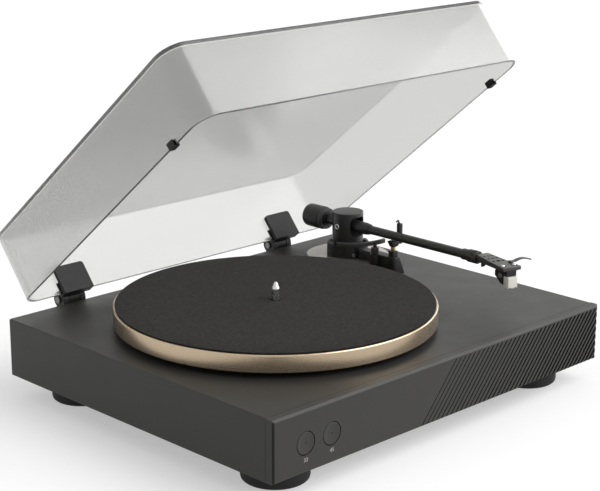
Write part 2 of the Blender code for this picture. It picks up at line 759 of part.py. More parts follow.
def make_bearing():
    """Make the main bearing's flanged housing."""
    floor = TOP - BEARING_DEPTH
    profile = [
        (0.0, floor + BEARING_FLOOR),
        (BEARING_BORE, floor + BEARING_FLOOR),
        (BEARING_BORE, BEARING_FLANGE_TOP),
        (BEARING_FLANGE_RADIUS, BEARING_FLANGE_TOP),
        (BEARING_FLANGE_RADIUS, TOP + GAP),
        (BEARING_RADIUS, TOP + GAP),
        (BEARING_RADIUS, floor),
        (0.0, floor),
    ]
    turned("bearing_housing", profile, False, BASE, (PLATTER_X, PLATTER_Y, 0.0), finish=BRASS)


def make_platter():
    """Make the platter, its mat and the spindle on the axis that they turn about."""
    axis = make_frame("platter_axis", (PLATTER_X, PLATTER_Y, 0.0), BASE)
    ring_bottom = TOP + DRIVE_RING_LIFT
    ring_inner = DRIVE_RING_RADIUS - DRIVE_RING_WALL
    rim_inner = PLATTER_RADIUS - PLATTER_RIM_WALL
    hub_bottom = BEARING_FLANGE_TOP + GAP
    bore = SHAFT_RADIUS + GAP
    profile = [
        (PLATTER_RADIUS - PLATTER_EDGE, PLATTER_TOP),
        (PLATTER_RADIUS, PLATTER_TOP - PLATTER_EDGE),
        (PLATTER_RADIUS, PLATTER_BOTTOM + PLATTER_EDGE),
        (PLATTER_RADIUS - PLATTER_EDGE, PLATTER_BOTTOM),
        (rim_inner, PLATTER_BOTTOM),
        (rim_inner, WEB_UNDERSIDE),
        (DRIVE_RING_RADIUS, WEB_UNDERSIDE),
        (DRIVE_RING_RADIUS, ring_bottom),
        (ring_inner, ring_bottom),
        (ring_inner, WEB_UNDERSIDE),
        (HUB_RADIUS, WEB_UNDERSIDE),
        (HUB_RADIUS, hub_bottom),
        (bore, hub_bottom),
        (bore, PLATTER_TOP),
    ]
    turned("platter", profile, True, axis, (0.0, 0.0, 0.0), finish=GOLD, segments=FINE_ROUND)
    mat = ring_profile(MAT_RADIUS, MAT_HOLE_RADIUS, MAT_TOP, PLATTER_TOP + GAP)
    turned("slip_mat", mat, True, axis, (0.0, 0.0, 0.0), finish=FELT, segments=FINE_ROUND)
    tip = MAT_TOP + SPINDLE_HEIGHT
    shaft_end = TOP - BEARING_DEPTH + BEARING_FLOOR + GAP
    spindle = [
        (0.0, tip),
        (SPINDLE_TIP_RADIUS, tip),
        (SPINDLE_RADIUS, tip - SPINDLE_CONE),
        (SPINDLE_RADIUS, PLATTER_TOP),
        (SHAFT_RADIUS, PLATTER_TOP - (SHAFT_RADIUS - SPINDLE_RADIUS)),
        (SHAFT_RADIUS, shaft_end + SHAFT_RADIUS / 2),
        (SHAFT_RADIUS / 2, shaft_end),
        (0.0, shaft_end),
    ]
    turned("platter_spindle", spindle, False, axis, (0.0, 0.0, 0.0), finish=STEEL)


def make_motor():
    """Make the motor, the plate that hangs it and the pulley on its shaft."""
    place = (MOTOR_X, MOTOR_Y, 0.0)
    bottom = MOTOR_TOP - MOTOR_HEIGHT
    boss_top = MOTOR_TOP + MOTOR_BOSS_HEIGHT
    motor = [
        (0.0, boss_top - MOTOR_BORE_DEPTH),
        (MOTOR_BORE_RADIUS, boss_top - MOTOR_BORE_DEPTH),
        (MOTOR_BORE_RADIUS, boss_top),
        (MOTOR_BOSS_RADIUS, boss_top),
        (MOTOR_BOSS_RADIUS, MOTOR_TOP),
        (MOTOR_RADIUS, MOTOR_TOP),
        (MOTOR_RADIUS, bottom),
        (0.0, bottom),
    ]
    turned("motor", motor, False, BASE, place, finish=STEEL)
    plate = ring_profile(MOTOR_RADIUS + MOUNT_MARGIN, MOTOR_BOSS_RADIUS + GAP,
                         POCKET_CEILING - GAP, POCKET_CEILING - GAP - MOUNT_PLATE)
    turned("motor_mount", plate, True, BASE, place, finish=RUBBER)
    axis = make_frame("pulley_axis", place, BASE)
    belt_low = TOP + DRIVE_RING_LIFT
    low = belt_low - PULLEY_FLANGE_HEIGHT
    high = belt_low + BELT_WIDTH + PULLEY_FLANGE_HEIGHT
    wide = PULLEY_RADIUS + BELT_THICKNESS + PULLEY_FLANGE
    pulley = [
        (0.0, high),
        (wide, high),
        (wide, belt_low + BELT_WIDTH + GAP),
        (PULLEY_RADIUS, belt_low + BELT_WIDTH + GAP),
        (PULLEY_RADIUS, belt_low - GAP),
        (wide, belt_low - GAP),
        (wide, low),
        (PULLEY_SHAFT_RADIUS, low),
        (PULLEY_SHAFT_RADIUS, boss_top - MOTOR_BORE_DEPTH + GAP),
        (0.0, boss_top - MOTOR_BORE_DEPTH + GAP),
    ]
    turned("motor_pulley", pulley, False, axis, (0.0, 0.0, 0.0), finish=BRASS)


def belt_outline(large, small, reach, steps_large=48, steps_small=12):
    """Give the loop round two circles that stand a distance apart on X, counterclockwise."""
    lean = math.acos((large - small) / reach)
    points = []
    for step in range(steps_large + 1):
        angle = lean + (math.tau - 2 * lean) * step / steps_large
        points.append((large * math.cos(angle), large * math.sin(angle)))
    for step in range(steps_small + 1):
        angle = -lean + 2 * lean * step / steps_small
        points.append((reach + small * math.cos(angle), small * math.sin(angle)))
    return points


def make_belt():
    """Make the flat belt round the platter's drive ring and the pulley."""
    bm = bmesh.new()
    low = TOP + DRIVE_RING_LIFT
    loops = []
    for height in (low, low + BELT_WIDTH):
        for extra in (GAP, GAP + BELT_THICKNESS):
            outline = belt_outline(DRIVE_RING_RADIUS + extra, PULLEY_RADIUS + extra, MOTOR_REACH)
            loops.append([bm.verts.new((x, y, height)) for x, y in outline])
    inner_low, outer_low, inner_high, outer_high = loops
    for first, second in ((outer_low, outer_high), (outer_high, inner_high), (inner_high, inner_low),
                          (inner_low, outer_low)):
        for index in range(len(first)):
            after = (index + 1) % len(first)
            bm.faces.new((first[index], first[after], second[after], second[index]))
    bmesh.ops.recalc_face_normals(bm, faces=bm.faces)
    add_object("drive_belt", bm, BASE, (PLATTER_X, PLATTER_Y, 0.0), (0.0, 0.0, MOTOR_ANGLE), RUBBER)


def make_circuit_board():
    """Make the main board on its posts in the rear bay, with two capacitors on it."""
    centre_x = (BAY_LEFT + BAY_RIGHT) / 2
    centre_y = (BAY_FRONT + BAY_REAR) / 2 - CAPACITOR_SPACING / 2
    top = POCKET_CEILING - BOARD_DROP
    bm = box_bmesh((BOARD_WIDTH, BOARD_DEPTH, BOARD_SHEET), (0.0, 0.0, -BOARD_SHEET / 2))
    board = add_object("circuit_board", bm, BASE, (centre_x, centre_y, top), finish=BOARD_GREEN)
    posts = []
    for side_x in (-1, 1):
        for side_y in (-1, 1):
            post = rod_bmesh(BOARD_POST_RADIUS, -BOARD_SHEET / 2, BOARD_DROP - GAP, segments=TINY_ROUND)
            posts.append(move_bmesh(post, (side_x * (BOARD_WIDTH / 2 - BOARD_POST_INSET),
                                           side_y * (BOARD_DEPTH / 2 - BOARD_POST_INSET), 0.0)))
    join(board, merge_bmeshes(posts), "posts")
    cans = []
    for side in (-1, 1):
        can = rod_bmesh(CAPACITOR_RADIUS, -BOARD_SHEET / 2, CAPACITOR_HEIGHT, segments=SMALL_ROUND)
        cans.append(move_bmesh(can, (side * CAPACITOR_SPACING / 2, 0.0, 0.0)))
    join(board, merge_bmeshes(cans), "capacitors")


def make_switch_board():
    """Make the small board behind the buttons, with a switch for each and posts to the panel."""
    centre_x = sum(BUTTON_XS) / 2
    bm = box_bmesh((SWITCH_BOARD_WIDTH, BOARD_SHEET, SWITCH_BOARD_HEIGHT), (0.0, BOARD_SHEET / 2, 0.0))
    board = add_object("switch_board", bm, BASE, (centre_x, SWITCH_BOARD_FACE, BUTTON_Z), finish=BOARD_GREEN)
    pieces = []
    for x in BUTTON_XS:
        switch = span_bmesh((x - centre_x - SWITCH_SIZE / 2, -SWITCH_HEIGHT, -SWITCH_SIZE / 2),
                            (x - centre_x + SWITCH_SIZE / 2, BOARD_SHEET / 2, SWITCH_SIZE / 2))
        pieces.append(switch)
    for side_x in (-1, 1):
        for side_z in (-1, 1):
            post = rod_bmesh(SWITCH_POST_RADIUS, PANEL_BACK + GAP - SWITCH_BOARD_FACE, BOARD_SHEET / 2,
                             axis=1, segments=TINY_ROUND)
            pieces.append(move_bmesh(post, (side_x * (SWITCH_BOARD_WIDTH / 2 - SWITCH_POST_INSET), 0.0,
                                            side_z * (SWITCH_BOARD_HEIGHT / 2 - SWITCH_POST_INSET))))
    join(board, merge_bmeshes(pieces), "switches_and_posts")


def make_buttons():
    """Make the two speed buttons; each is dished, with a rim that keeps it behind the panel."""
    for name, x in zip(("button_33", "button_45"), BUTTON_XS):
        back = -(PANEL_THICKNESS + GAP + BUTTON_RIM_THICKNESS)
        profile = [
            (0.0, -2 * BUTTON_DISH),
            (BUTTON_LAMP_RADIUS, -2 * BUTTON_DISH),
            (BUTTON_LAMP_RADIUS, -BUTTON_DISH),
            (BUTTON_RADIUS / 2, -BUTTON_DISH / 2),
            (BUTTON_RADIUS - BUTTON_EDGE, 0.0),
            (BUTTON_RADIUS, -BUTTON_EDGE),
            (BUTTON_RADIUS, -(PANEL_THICKNESS + GAP)),
            (BUTTON_RADIUS + BUTTON_RIM, -(PANEL_THICKNESS + GAP)),
            (BUTTON_RADIUS + BUTTON_RIM, back),
            (BUTTON_STEM_RADIUS, back),
            (BUTTON_STEM_RADIUS, back - BUTTON_STEM_LENGTH),
            (0.0, back - BUTTON_STEM_LENGTH),
        ]
        turned(name, profile, False, BASE, (x, PANEL_FRONT, BUTTON_Z), FACING_FRONT, DARK_PAINT)


def make_terminals():
    """Make the rear plate with two signal sockets, the ground screw and the power inlet."""
    panel_z = UNDERSIDE + PLINTH_HEIGHT / 2
    outer = PLINTH_DEPTH / 2
    inner = outer - TERMINAL_SHEET
    xs = [TERMINAL_X + SOCKET_SPACING * share for share in TERMINAL_STEP_SHARES]
    bm = span_bmesh((TERMINAL_X - TERMINAL_WIDTH / 2 + GAP, inner, panel_z - TERMINAL_HEIGHT / 2 + GAP),
                    (TERMINAL_X + TERMINAL_WIDTH / 2 - GAP, outer, panel_z + TERMINAL_HEIGHT / 2 - GAP))
    plate = add_object("terminal_panel", bm, BASE, finish=BLACK_PLASTIC)
    holes = []
    for x, radius in ((xs[0], SOCKET_RADIUS), (xs[1], SOCKET_RADIUS), (xs[2], GROUND_SHANK_RADIUS)):
        hole = rod_bmesh(radius + GAP, inner - OVERRUN, outer + OVERRUN, axis=1, segments=SMALL_ROUND)
        holes.append(move_bmesh(hole, (x, 0.0, panel_z)))
    holes.append(span_bmesh(
        (xs[3] - INLET_WIDTH / 2 - GAP, inner - OVERRUN, panel_z - INLET_HEIGHT / 2 - GAP),
        (xs[3] + INLET_WIDTH / 2 + GAP, outer + OVERRUN, panel_z + INLET_HEIGHT / 2 + GAP)))
    cut(plate, merge_bmeshes(holes), "holes")
    socket = [
        (0.0, SOCKET_LENGTH - SOCKET_BORE_DEPTH),
        (SOCKET_BORE, SOCKET_LENGTH - SOCKET_BORE_DEPTH),
        (SOCKET_BORE, SOCKET_LENGTH),
        (SOCKET_RADIUS, SOCKET_LENGTH),
        (SOCKET_RADIUS, -TERMINAL_SHEET - GAP),
        (SOCKET_BACK_RADIUS, -TERMINAL_SHEET - GAP),
        (SOCKET_BACK_RADIUS, -TERMINAL_SHEET - GAP - SOCKET_BACK_LENGTH),
        (0.0, -TERMINAL_SHEET - GAP - SOCKET_BACK_LENGTH),
    ]
    for name, x in zip(("signal_socket_left", "signal_socket_right"), xs):
        turned(name, socket, False, BASE, (x, outer, panel_z), FACING_REAR, GOLD, SMALL_ROUND)
    screw = [
        (0.0, GAP + GROUND_HEAD_LENGTH),
        (GROUND_HEAD_RADIUS, GAP + GROUND_HEAD_LENGTH),
        (GROUND_HEAD_RADIUS, GAP),
        (GROUND_SHANK_RADIUS, GAP),
        (GROUND_SHANK_RADIUS, -GROUND_SHANK_LENGTH),
        (0.0, -GROUND_SHANK_LENGTH),
    ]
    turned("ground_screw", screw, False, BASE, (xs[2], outer, panel_z), FACING_REAR, STEEL, SMALL_ROUND)
    body = span_bmesh((-INLET_WIDTH / 2, -INLET_DEPTH, -INLET_HEIGHT / 2),
                      (INLET_WIDTH / 2, 0.0, INLET_HEIGHT / 2))
    inlet = add_object("power_inlet", body, BASE, (xs[3], outer, panel_z), finish=BLACK_PLASTIC)
    bore = ring_profile(INLET_BORE, INLET_PIN, OVERRUN, -INLET_BORE_DEPTH)
    ring = turned("power_inlet_bore", bore, True, BASE, (xs[3], outer, panel_z), FACING_REAR,
                  segments=SMALL_ROUND)
    apply_boolean(inlet, ring)


def rounded_block(low, high, corner, segments=TINY_ROUND):
    """Make a block whose upright edges are rounded."""
    bm = span_bmesh(low, high)
    bevel_where(bm, lambda edge: runs_along(edge, 2), corner, segments)
    return bm


def make_cover(axis):
    """Make the clear cover as a thin box that is open below, in its closed place about the hinge axis."""
    rear = -HINGE_TO_COVER
    front = rear - COVER_DEPTH
    rim = -RIM_DROP
    half = COVER_WIDTH / 2
    outer = rounded_block((-half, front, rim), (half, rear, rim + COVER_HEIGHT), COVER_CORNER)
    cover = add_object("dust_cover", outer, axis, finish=CLEAR)
    inner = rounded_block((-half + COVER_WALL, front + COVER_WALL, rim - OVERRUN),
                          (half - COVER_WALL, rear - COVER_WALL, rim + COVER_HEIGHT - COVER_WALL),
                          COVER_CORNER - COVER_WALL)
    cut(cover, inner, "inside")
    for name, side in (("cover_bumper_left", -1), ("cover_bumper_right", 1)):
        x = side * (half - COVER_WALL / 2)
        low = -(COVER_RIM_LIFT - GAP)
        block = span_bmesh((-COVER_WALL / 2 - GAP - BUMPER_WALL, -BUMPER_LENGTH / 2, low),
                           (COVER_WALL / 2 + GAP + BUMPER_WALL, BUMPER_LENGTH / 2, BUMPER_HEIGHT))
        bumper = add_object(name, block, axis, (x, rear - BUMPER_REACH, rim), finish=RUBBER)
        slot = span_bmesh((-COVER_WALL / 2 - GAP, -BUMPER_LENGTH, -GAP),
                          (COVER_WALL / 2 + GAP, BUMPER_LENGTH, BUMPER_HEIGHT + OVERRUN))
        cut(bumper, slot, "slot")


def make_hinge(side, x, axis):
    """Make one hinge: its base on the plinth's rear, its pin, and the clip that grips the cover's wall."""
    ear_radius = KNUCKLE_RADIUS + EAR_EXTRA
    half = HINGE_BASE_WIDTH / 2
    place = (x, HINGE_BACK, TOP + HINGE_RISE)
    front = -(HINGE_SETBACK - GAP)
    base = add_object("hinge_base_" + side, rod_bmesh(ear_radius, -half, half, axis=0), BASE, place,
                      finish=BLACK_PLASTIC)
    block = span_bmesh((-half, front, -HINGE_BASE_DROP), (half, HINGE_BASE_BACK, 0.0))
    join(base, block, "block")
    slot_half = KNUCKLE_WIDTH / 2 + GAP
    slot = span_bmesh((-slot_half, -HINGE_SETBACK - OVERRUN, -KNUCKLE_RADIUS - KNUCKLE_CLEARANCE),
                      (slot_half, HINGE_SETBACK + OVERRUN, HINGE_SETBACK + OVERRUN))
    cut(base, slot, "slot")
    bore = rod_bmesh(BORE_FOR_HINGE_PIN, -half - OVERRUN, half + OVERRUN, axis=0, segments=SMALL_ROUND)
    cut(base, bore, "pin_bore")
    pin = [
        (0.0, half + HINGE_PIN_PROUD),
        (HINGE_PIN_RADIUS, half + HINGE_PIN_PROUD),
        (HINGE_PIN_RADIUS, -half - GAP),
        (HINGE_PIN_HEAD_RADIUS, -half - GAP),
        (HINGE_PIN_HEAD_RADIUS, -half - GAP - HINGE_PIN_HEAD),
        (0.0, -half - GAP - HINGE_PIN_HEAD),
    ]
    turned("hinge_pin_" + side, pin, False, BASE, place, ALONG_X, STEEL, SMALL_ROUND)
    wall_back = -HINGE_TO_COVER
    wall_front = wall_back - COVER_WALL
    web_top = -RIM_DROP - GAP
    web_bottom = web_top - CLIP_WEB
    clip_back = wall_back + GAP + CLIP_BACK
    clip_front = wall_front - GAP - CLIP_FRONT
    clip_top = CLIP_HEIGHT - RIM_DROP
    bm = span_bmesh((-CLIP_WIDTH / 2, clip_front, web_bottom), (CLIP_WIDTH / 2, clip_back, clip_top))
    top_edges = clip_top - GAP
    bevel_where(bm, lambda edge: runs_along(edge, 1) and edge.verts[0].co.z > top_edges, CLIP_CORNER,
                CLIP_CORNER_STEPS)
    clip = add_object("hinge_clip_" + side, bm, axis, (x, 0.0, 0.0), finish=BLACK_PLASTIC)
    channel = span_bmesh((-CLIP_WIDTH, wall_front - GAP, web_top),
                         (CLIP_WIDTH, wall_back + GAP, CLIP_HEIGHT + OVERRUN))
    cut(clip, channel, "channel")
    relief = span_bmesh((-CLIP_WIDTH, wall_back, CLIP_BACK_HEIGHT),
                        (CLIP_WIDTH, clip_back + OVERRUN, CLIP_HEIGHT + OVERRUN))
    cut(clip, relief, "relief")
    arm_low = web_bottom + CLIP_ARM_LIFT
    arm = span_bmesh((GAP - KNUCKLE_WIDTH / 2, clip_back - CLIP_BACK / 2, arm_low),
                     (KNUCKLE_WIDTH / 2 - GAP, -CLIP_ARM_END, arm_low + CLIP_ARM_HEIGHT))
    join(clip, arm, "arm")
    join(clip, rod_bmesh(KNUCKLE_RADIUS, -KNUCKLE_WIDTH / 2, KNUCKLE_WIDTH / 2, axis=0), "knuckle")
    clip_bore = rod_bmesh(BORE_FOR_HINGE_PIN, -CLIP_WIDTH, CLIP_WIDTH, axis=0, segments=SMALL_ROUND)
    cut(clip, clip_bore, "pin_bore")


def make_arm_base():
    """Make the round plate and the casting on it: drum, spigot, beam, lift boss and rest box."""
    deck = make_frame("arm_deck", (ARM_X, ARM_Y, TOP), BASE)
    plate = ring_profile(ARM_PLATE_RADIUS, SPIGOT_RADIUS + GAP, GAP + ARM_PLATE_SHEET, GAP, ARM_PLATE_EDGE)
    turned("arm_base_plate", plate, True, deck, (0.0, 0.0, 0.0), finish=GREY_PAINT, segments=WIDE_ROUND)
    bore = PILLAR_RADIUS + GAP
    profile = [
        (DRUM_RADIUS, DRUM_HEIGHT),
        (DRUM_RADIUS, DRUM_BOTTOM),
        (SPIGOT_RADIUS, DRUM_BOTTOM),
        (SPIGOT_RADIUS, -SPIGOT_DEPTH),
        (bore, -SPIGOT_DEPTH),
        (bore, DRUM_FLOOR_HEIGHT),
        (DRUM_RADIUS - DRUM_WALL, DRUM_FLOOR_HEIGHT),
        (DRUM_RADIUS - DRUM_WALL, DRUM_HEIGHT),
    ]
    base = turned("arm_base", profile, True, deck, (0.0, 0.0, 0.0), finish=SATIN_BLACK, segments=WIDE_ROUND)
    low_x = BEAM_X - BEAM_WIDTH / 2
    high_x = BEAM_X + BEAM_WIDTH / 2
    beam_start = -(DRUM_RADIUS - DRUM_WALL)
    beam = span_bmesh((low_x, -BEAM_LENGTH, DRUM_BOTTOM), (high_x, beam_start, BEAM_HEIGHT))
    join(base, beam, "beam")
    foot = span_bmesh((low_x - GAP, -BEAM_LENGTH - GAP, GAP),
                      (high_x + GAP, -BEAM_STEP_LENGTH, BEAM_HEIGHT - GAP))
    for vert in foot.verts:
        if vert.co.z < DRUM_BOTTOM and vert.co.x > high_x:
            vert.co.x += BEAM_FOOT_LEAN
    join(base, foot, "beam_foot")
    lift_place = (LIFT_REACH * math.cos(LIFT_ANGLE), LIFT_REACH * math.sin(LIFT_ANGLE), 0.0)
    lift_boss = rod_bmesh(LIFT_BOSS_RADIUS, DRUM_BOTTOM, LIFT_BOSS_HEIGHT)
    join(base, move_bmesh(lift_boss, lift_place), "lift_boss")
    rest_box = span_bmesh((REST_X - REST_BOX / 2, -REST_REACH - REST_BOX / 2, BEAM_HEIGHT / 2),
                          (REST_X + REST_BOX / 2, -REST_REACH + REST_BOX / 2, BEAM_HEIGHT + REST_BOX_HEIGHT))
    join(base, rest_box, "rest_box")
    screw_hole = rod_bmesh(REST_SCREW_RADIUS + GAP, BEAM_HEIGHT + GAP,
                           BEAM_HEIGHT + REST_BOX_HEIGHT + OVERRUN, segments=SMALL_ROUND)
    cut(base, move_bmesh(screw_hole, (REST_X, -REST_REACH, 0.0)), "screw_hole")
    lever_hole = rod_bmesh(LEVER_SHAFT_RADIUS + GAP, high_x - LEVER_SHAFT_DEPTH, high_x + OVERRUN,
                           axis=0, segments=SMALL_ROUND)
    cut(base, move_bmesh(lever_hole, (0.0, -LEVER_REACH, LEVER_HEIGHT)), "lever_hole")
    skate_hole = rod_bmesh(SKATE_SHAFT_RADIUS + GAP, DRUM_RADIUS - SKATE_SHAFT_DEPTH - GAP,
                           DRUM_RADIUS + OVERRUN, axis=0, segments=SMALL_ROUND)
    cut(base, move_bmesh(skate_hole, (0.0, 0.0, SKATE_HEIGHT)), "skate_hole")
    return deck


def make_housing(swing):
    """Make the housing that swings with the arm and the pillar that carries it."""
    pillar = solid_profile(PILLAR_RADIUS, HOUSING_BOTTOM - GAP + PILLAR_GRIP - GAP, -PILLAR_DROP)
    neck_bottom = DRUM_FLOOR_HEIGHT + GAP
    hole_top = HOUSING_BOTTOM + PILLAR_GRIP - GAP
    profile = [
        (0.0, HOUSING_TOP),
        (HOUSING_RADIUS - HOUSING_EDGE, HOUSING_TOP),
        (HOUSING_RADIUS, HOUSING_TOP - HOUSING_EDGE),
        (HOUSING_RADIUS, HOUSING_BOTTOM),
        (NECK_RADIUS, HOUSING_BOTTOM),
        (NECK_RADIUS, neck_bottom),
        (PILLAR_RADIUS + GAP, neck_bottom),
        (PILLAR_RADIUS + GAP, hole_top),
        (0.0, hole_top),
    ]
    housing = turned("arm_housing", profile, False, swing, (0.0, 0.0, 0.0), finish=SATIN_BLACK,
                     segments=WIDE_ROUND)
    turned("arm_pillar", pillar, False, swing, (0.0, 0.0, 0.0), finish=STEEL)
    window = span_bmesh(
        (-WINDOW_WIDTH / 2, -HOUSING_RADIUS - OVERRUN, ARM_AXIS_HEIGHT - WINDOW_HEIGHT / 2),
        (WINDOW_WIDTH / 2, HOUSING_RADIUS + OVERRUN, ARM_AXIS_HEIGHT + WINDOW_HEIGHT / 2))
    bevel_where(window, lambda edge: runs_along(edge, 1), WINDOW_CORNER, WINDOW_CORNER_STEPS)
    cut(housing, window, "window")
    bore = rod_bmesh(PIVOT_HEAD_RADIUS + GAP, -HOUSING_RADIUS - OVERRUN, HOUSING_RADIUS + OVERRUN,
                     axis=0, segments=SMALL_ROUND)
    cut(housing, move_bmesh(bore, (0.0, 0.0, ARM_AXIS_HEIGHT)), "pivot_bore")


def make_pivots(swing, lift):
    """Make the two pivot screws in the housing and the cross axle that turns on their tips."""
    outer = HOUSING_RADIUS + PIVOT_PROUD
    inner = WINDOW_WIDTH / 2
    axle_end = BLOCK_WIDTH / 2 + AXLE_PROUD
    tip = axle_end + GAP - PIVOT_TIP_LENGTH
    screw = [
        (0.0, outer),
        (PIVOT_HEAD_RADIUS, outer),
        (PIVOT_HEAD_RADIUS, inner),
        (PIVOT_SHANK_RADIUS, inner),
        (PIVOT_SHANK_RADIUS, axle_end + GAP),
        (PIVOT_TIP_RADIUS, axle_end + GAP),
        (PIVOT_TIP_RADIUS, tip),
        (0.0, tip),
    ]
    for name, turn in (("pivot_screw_right", math.pi / 2), ("pivot_screw_left", -math.pi / 2)):
        turned(name, screw, False, swing, (0.0, 0.0, ARM_AXIS_HEIGHT), (0.0, turn, 0.0), STEEL, SMALL_ROUND)
    cup = PIVOT_TIP_RADIUS + GAP
    axle = [
        (0.0, axle_end - PIVOT_TIP_LENGTH),
        (cup, axle_end - PIVOT_TIP_LENGTH),
        (cup, axle_end),
        (AXLE_RADIUS, axle_end),
        (AXLE_RADIUS, -axle_end),
        (cup, -axle_end),
        (cup, PIVOT_TIP_LENGTH - axle_end),
        (0.0, PIVOT_TIP_LENGTH - axle_end),
    ]
    turned("pivot_axle", axle, False, lift, (0.0, 0.0, 0.0), ALONG_X, STEEL, SMALL_ROUND)


def make_arm_root(lift):
    """Make the root block on the cross axle, with the collar that the arm tube sits in."""
    end = ROOT_LENGTH + ROOT_TAPER
    collar = [
        (0.0, TUBE_START - GAP),
        (TUBE_BORE_IN_ROOT, TUBE_START - GAP),
        (TUBE_BORE_IN_ROOT, end),
        (TUBE_BORE_IN_ROOT + ROOT_TAPER_WALL, end),
        (ROOT_RADIUS, ROOT_LENGTH),
        (ROOT_RADIUS, ROOT_START),
        (0.0, ROOT_START),
    ]
    block = turned("pivot_block", collar, False, lift, (0.0, 0.0, 0.0), FACING_FRONT, SATIN_BLACK)
    join(block, box_bmesh((BLOCK_WIDTH, BLOCK_HEIGHT, BLOCK_LENGTH)), "body")
    bore = rod_bmesh(AXLE_RADIUS + GAP, -BLOCK_WIDTH, BLOCK_WIDTH, axis=0, segments=SMALL_ROUND)
    cut(block, bore, "axle_bore")


def make_arm_tube(lift):
    """Make the straight tube with the collar near its end, and the ring that locks the headshell to it."""
    bore = TUBE_RADIUS - TUBE_WALL
    tube = [
        (TUBE_RADIUS, TUBE_END),
        (TUBE_RADIUS, RING_START - GAP),
        (TUBE_COLLAR_RADIUS, RING_START - GAP),
        (TUBE_COLLAR_RADIUS, TUBE_COLLAR_START),
        (TUBE_RADIUS, TUBE_COLLAR_START),
        (TUBE_RADIUS, TUBE_START),
        (bore, TUBE_START),
        (bore, TUBE_END),
    ]
    turned("arm_tube", tube, True, lift, (0.0, 0.0, 0.0), FACING_FRONT, SATIN_BLACK)
    end = RING_START + RING_LENGTH
    middle = (RING_START + end) / 2
    ring = [
        (RING_RADIUS - RING_EDGE, end),
        (RING_RADIUS, end - RING_EDGE),
        (RING_RADIUS, middle + RING_GROOVE_WIDTH / 2),
        (RING_RADIUS - RING_GROOVE, middle + RING_GROOVE_WIDTH / 2),
        (RING_RADIUS - RING_GROOVE, middle - RING_GROOVE_WIDTH / 2),
        (RING_RADIUS, middle - RING_GROOVE_WIDTH / 2),
        (RING_RADIUS, RING_START + RING_EDGE),
        (RING_RADIUS - RING_EDGE, RING_START),
        (RING_BORE, RING_START),
        (RING_BORE, end),
    ]
    turned("shell_lock_ring", ring, True, lift, (0.0, 0.0, 0.0), FACING_FRONT, SATIN_BLACK)


def shell_half_width(reach):
    """Give half the headshell's width at a distance from its rear."""
    return (SHELL_REAR_WIDTH + (SHELL_FRONT_WIDTH - SHELL_REAR_WIDTH) * reach / SHELL_LENGTH) / 2


def tapered_block(rear, front, margin, top, low_rear, low_front):
    """Make a block that widens with the headshell, between two distances from the headshell's rear."""
    bm = span_bmesh((-1.0, -front, low_rear), (1.0, -rear, top))
    for vert in bm.verts:
        reach = -vert.co.y
        vert.co.x *= shell_half_width(reach) - margin
        if vert.co.z < top - GAP and reach > (rear + front) / 2:
            vert.co.z = low_front
    return bm


def make_headshell(shell):
    """Make the perforated headshell with its plug, which sits in the locking ring."""
    outer = tapered_block(0.0, SHELL_LENGTH, 0.0, 0.0, -SHELL_REAR_HEIGHT, -SHELL_FRONT_HEIGHT)
    body = add_object("headshell", outer, shell, finish=SATIN_BLACK)
    low = -SHELL_REAR_HEIGHT - OVERRUN
    hollow = tapered_block(SHELL_SOLID_REAR, SHELL_LENGTH - SHELL_SKIRT, SHELL_SKIRT, -SHELL_SHEET, low, low)
    cut(body, hollow, "hollow")
    plug_start = TUBE_END + GAP - SHELL_START
    plug = rod_bmesh(TUBE_RADIUS, -plug_start, -SHELL_SOLID_REAR, axis=1)
    turn = Matrix.Rotation(SHELL_OFFSET, 3, "Z")
    bmesh.ops.rotate(plug, cent=(0.0, 0.0, 0.0), matrix=turn, verts=plug.verts)
    join(body, move_bmesh(plug, (0.0, 0.0, -SHELL_RISE)), "plug")
    holes = []
    rows = list(zip(SHELL_HOLE_ROW_SHARES, SHELL_HOLE_RADII))
    for share, radius in rows:
        reach = share * SHELL_LENGTH
        side = 2 * shell_half_width(reach) * SHELL_HOLE_SIDE_SHARE
        for x in (-side, 0.0, side):
            hole = rod_bmesh(radius, -SHELL_SHEET - OVERRUN, OVERRUN, segments=SMALL_ROUND)
            holes.append(move_bmesh(hole, (x, -reach, 0.0)))
    recesses = []
    for x in (-SCREW_SPACING / 2, SCREW_SPACING / 2):
        hole = rod_bmesh(SCREW_RADIUS + SCREW_CLEARANCE, -SHELL_SHEET - OVERRUN, OVERRUN,
                         segments=SMALL_ROUND)
        holes.append(move_bmesh(hole, (x, -SCREW_REACH, 0.0)))
        recess = rod_bmesh(SHELL_RECESS_RADIUS, -SHELL_RECESS_DEPTH, OVERRUN, segments=SMALL_ROUND)
        recesses.append(move_bmesh(recess, (x, -SCREW_REACH, 0.0)))
    cut(body, merge_bmeshes(holes), "holes")
    cut(body, merge_bmeshes(recesses), "screw_recesses")


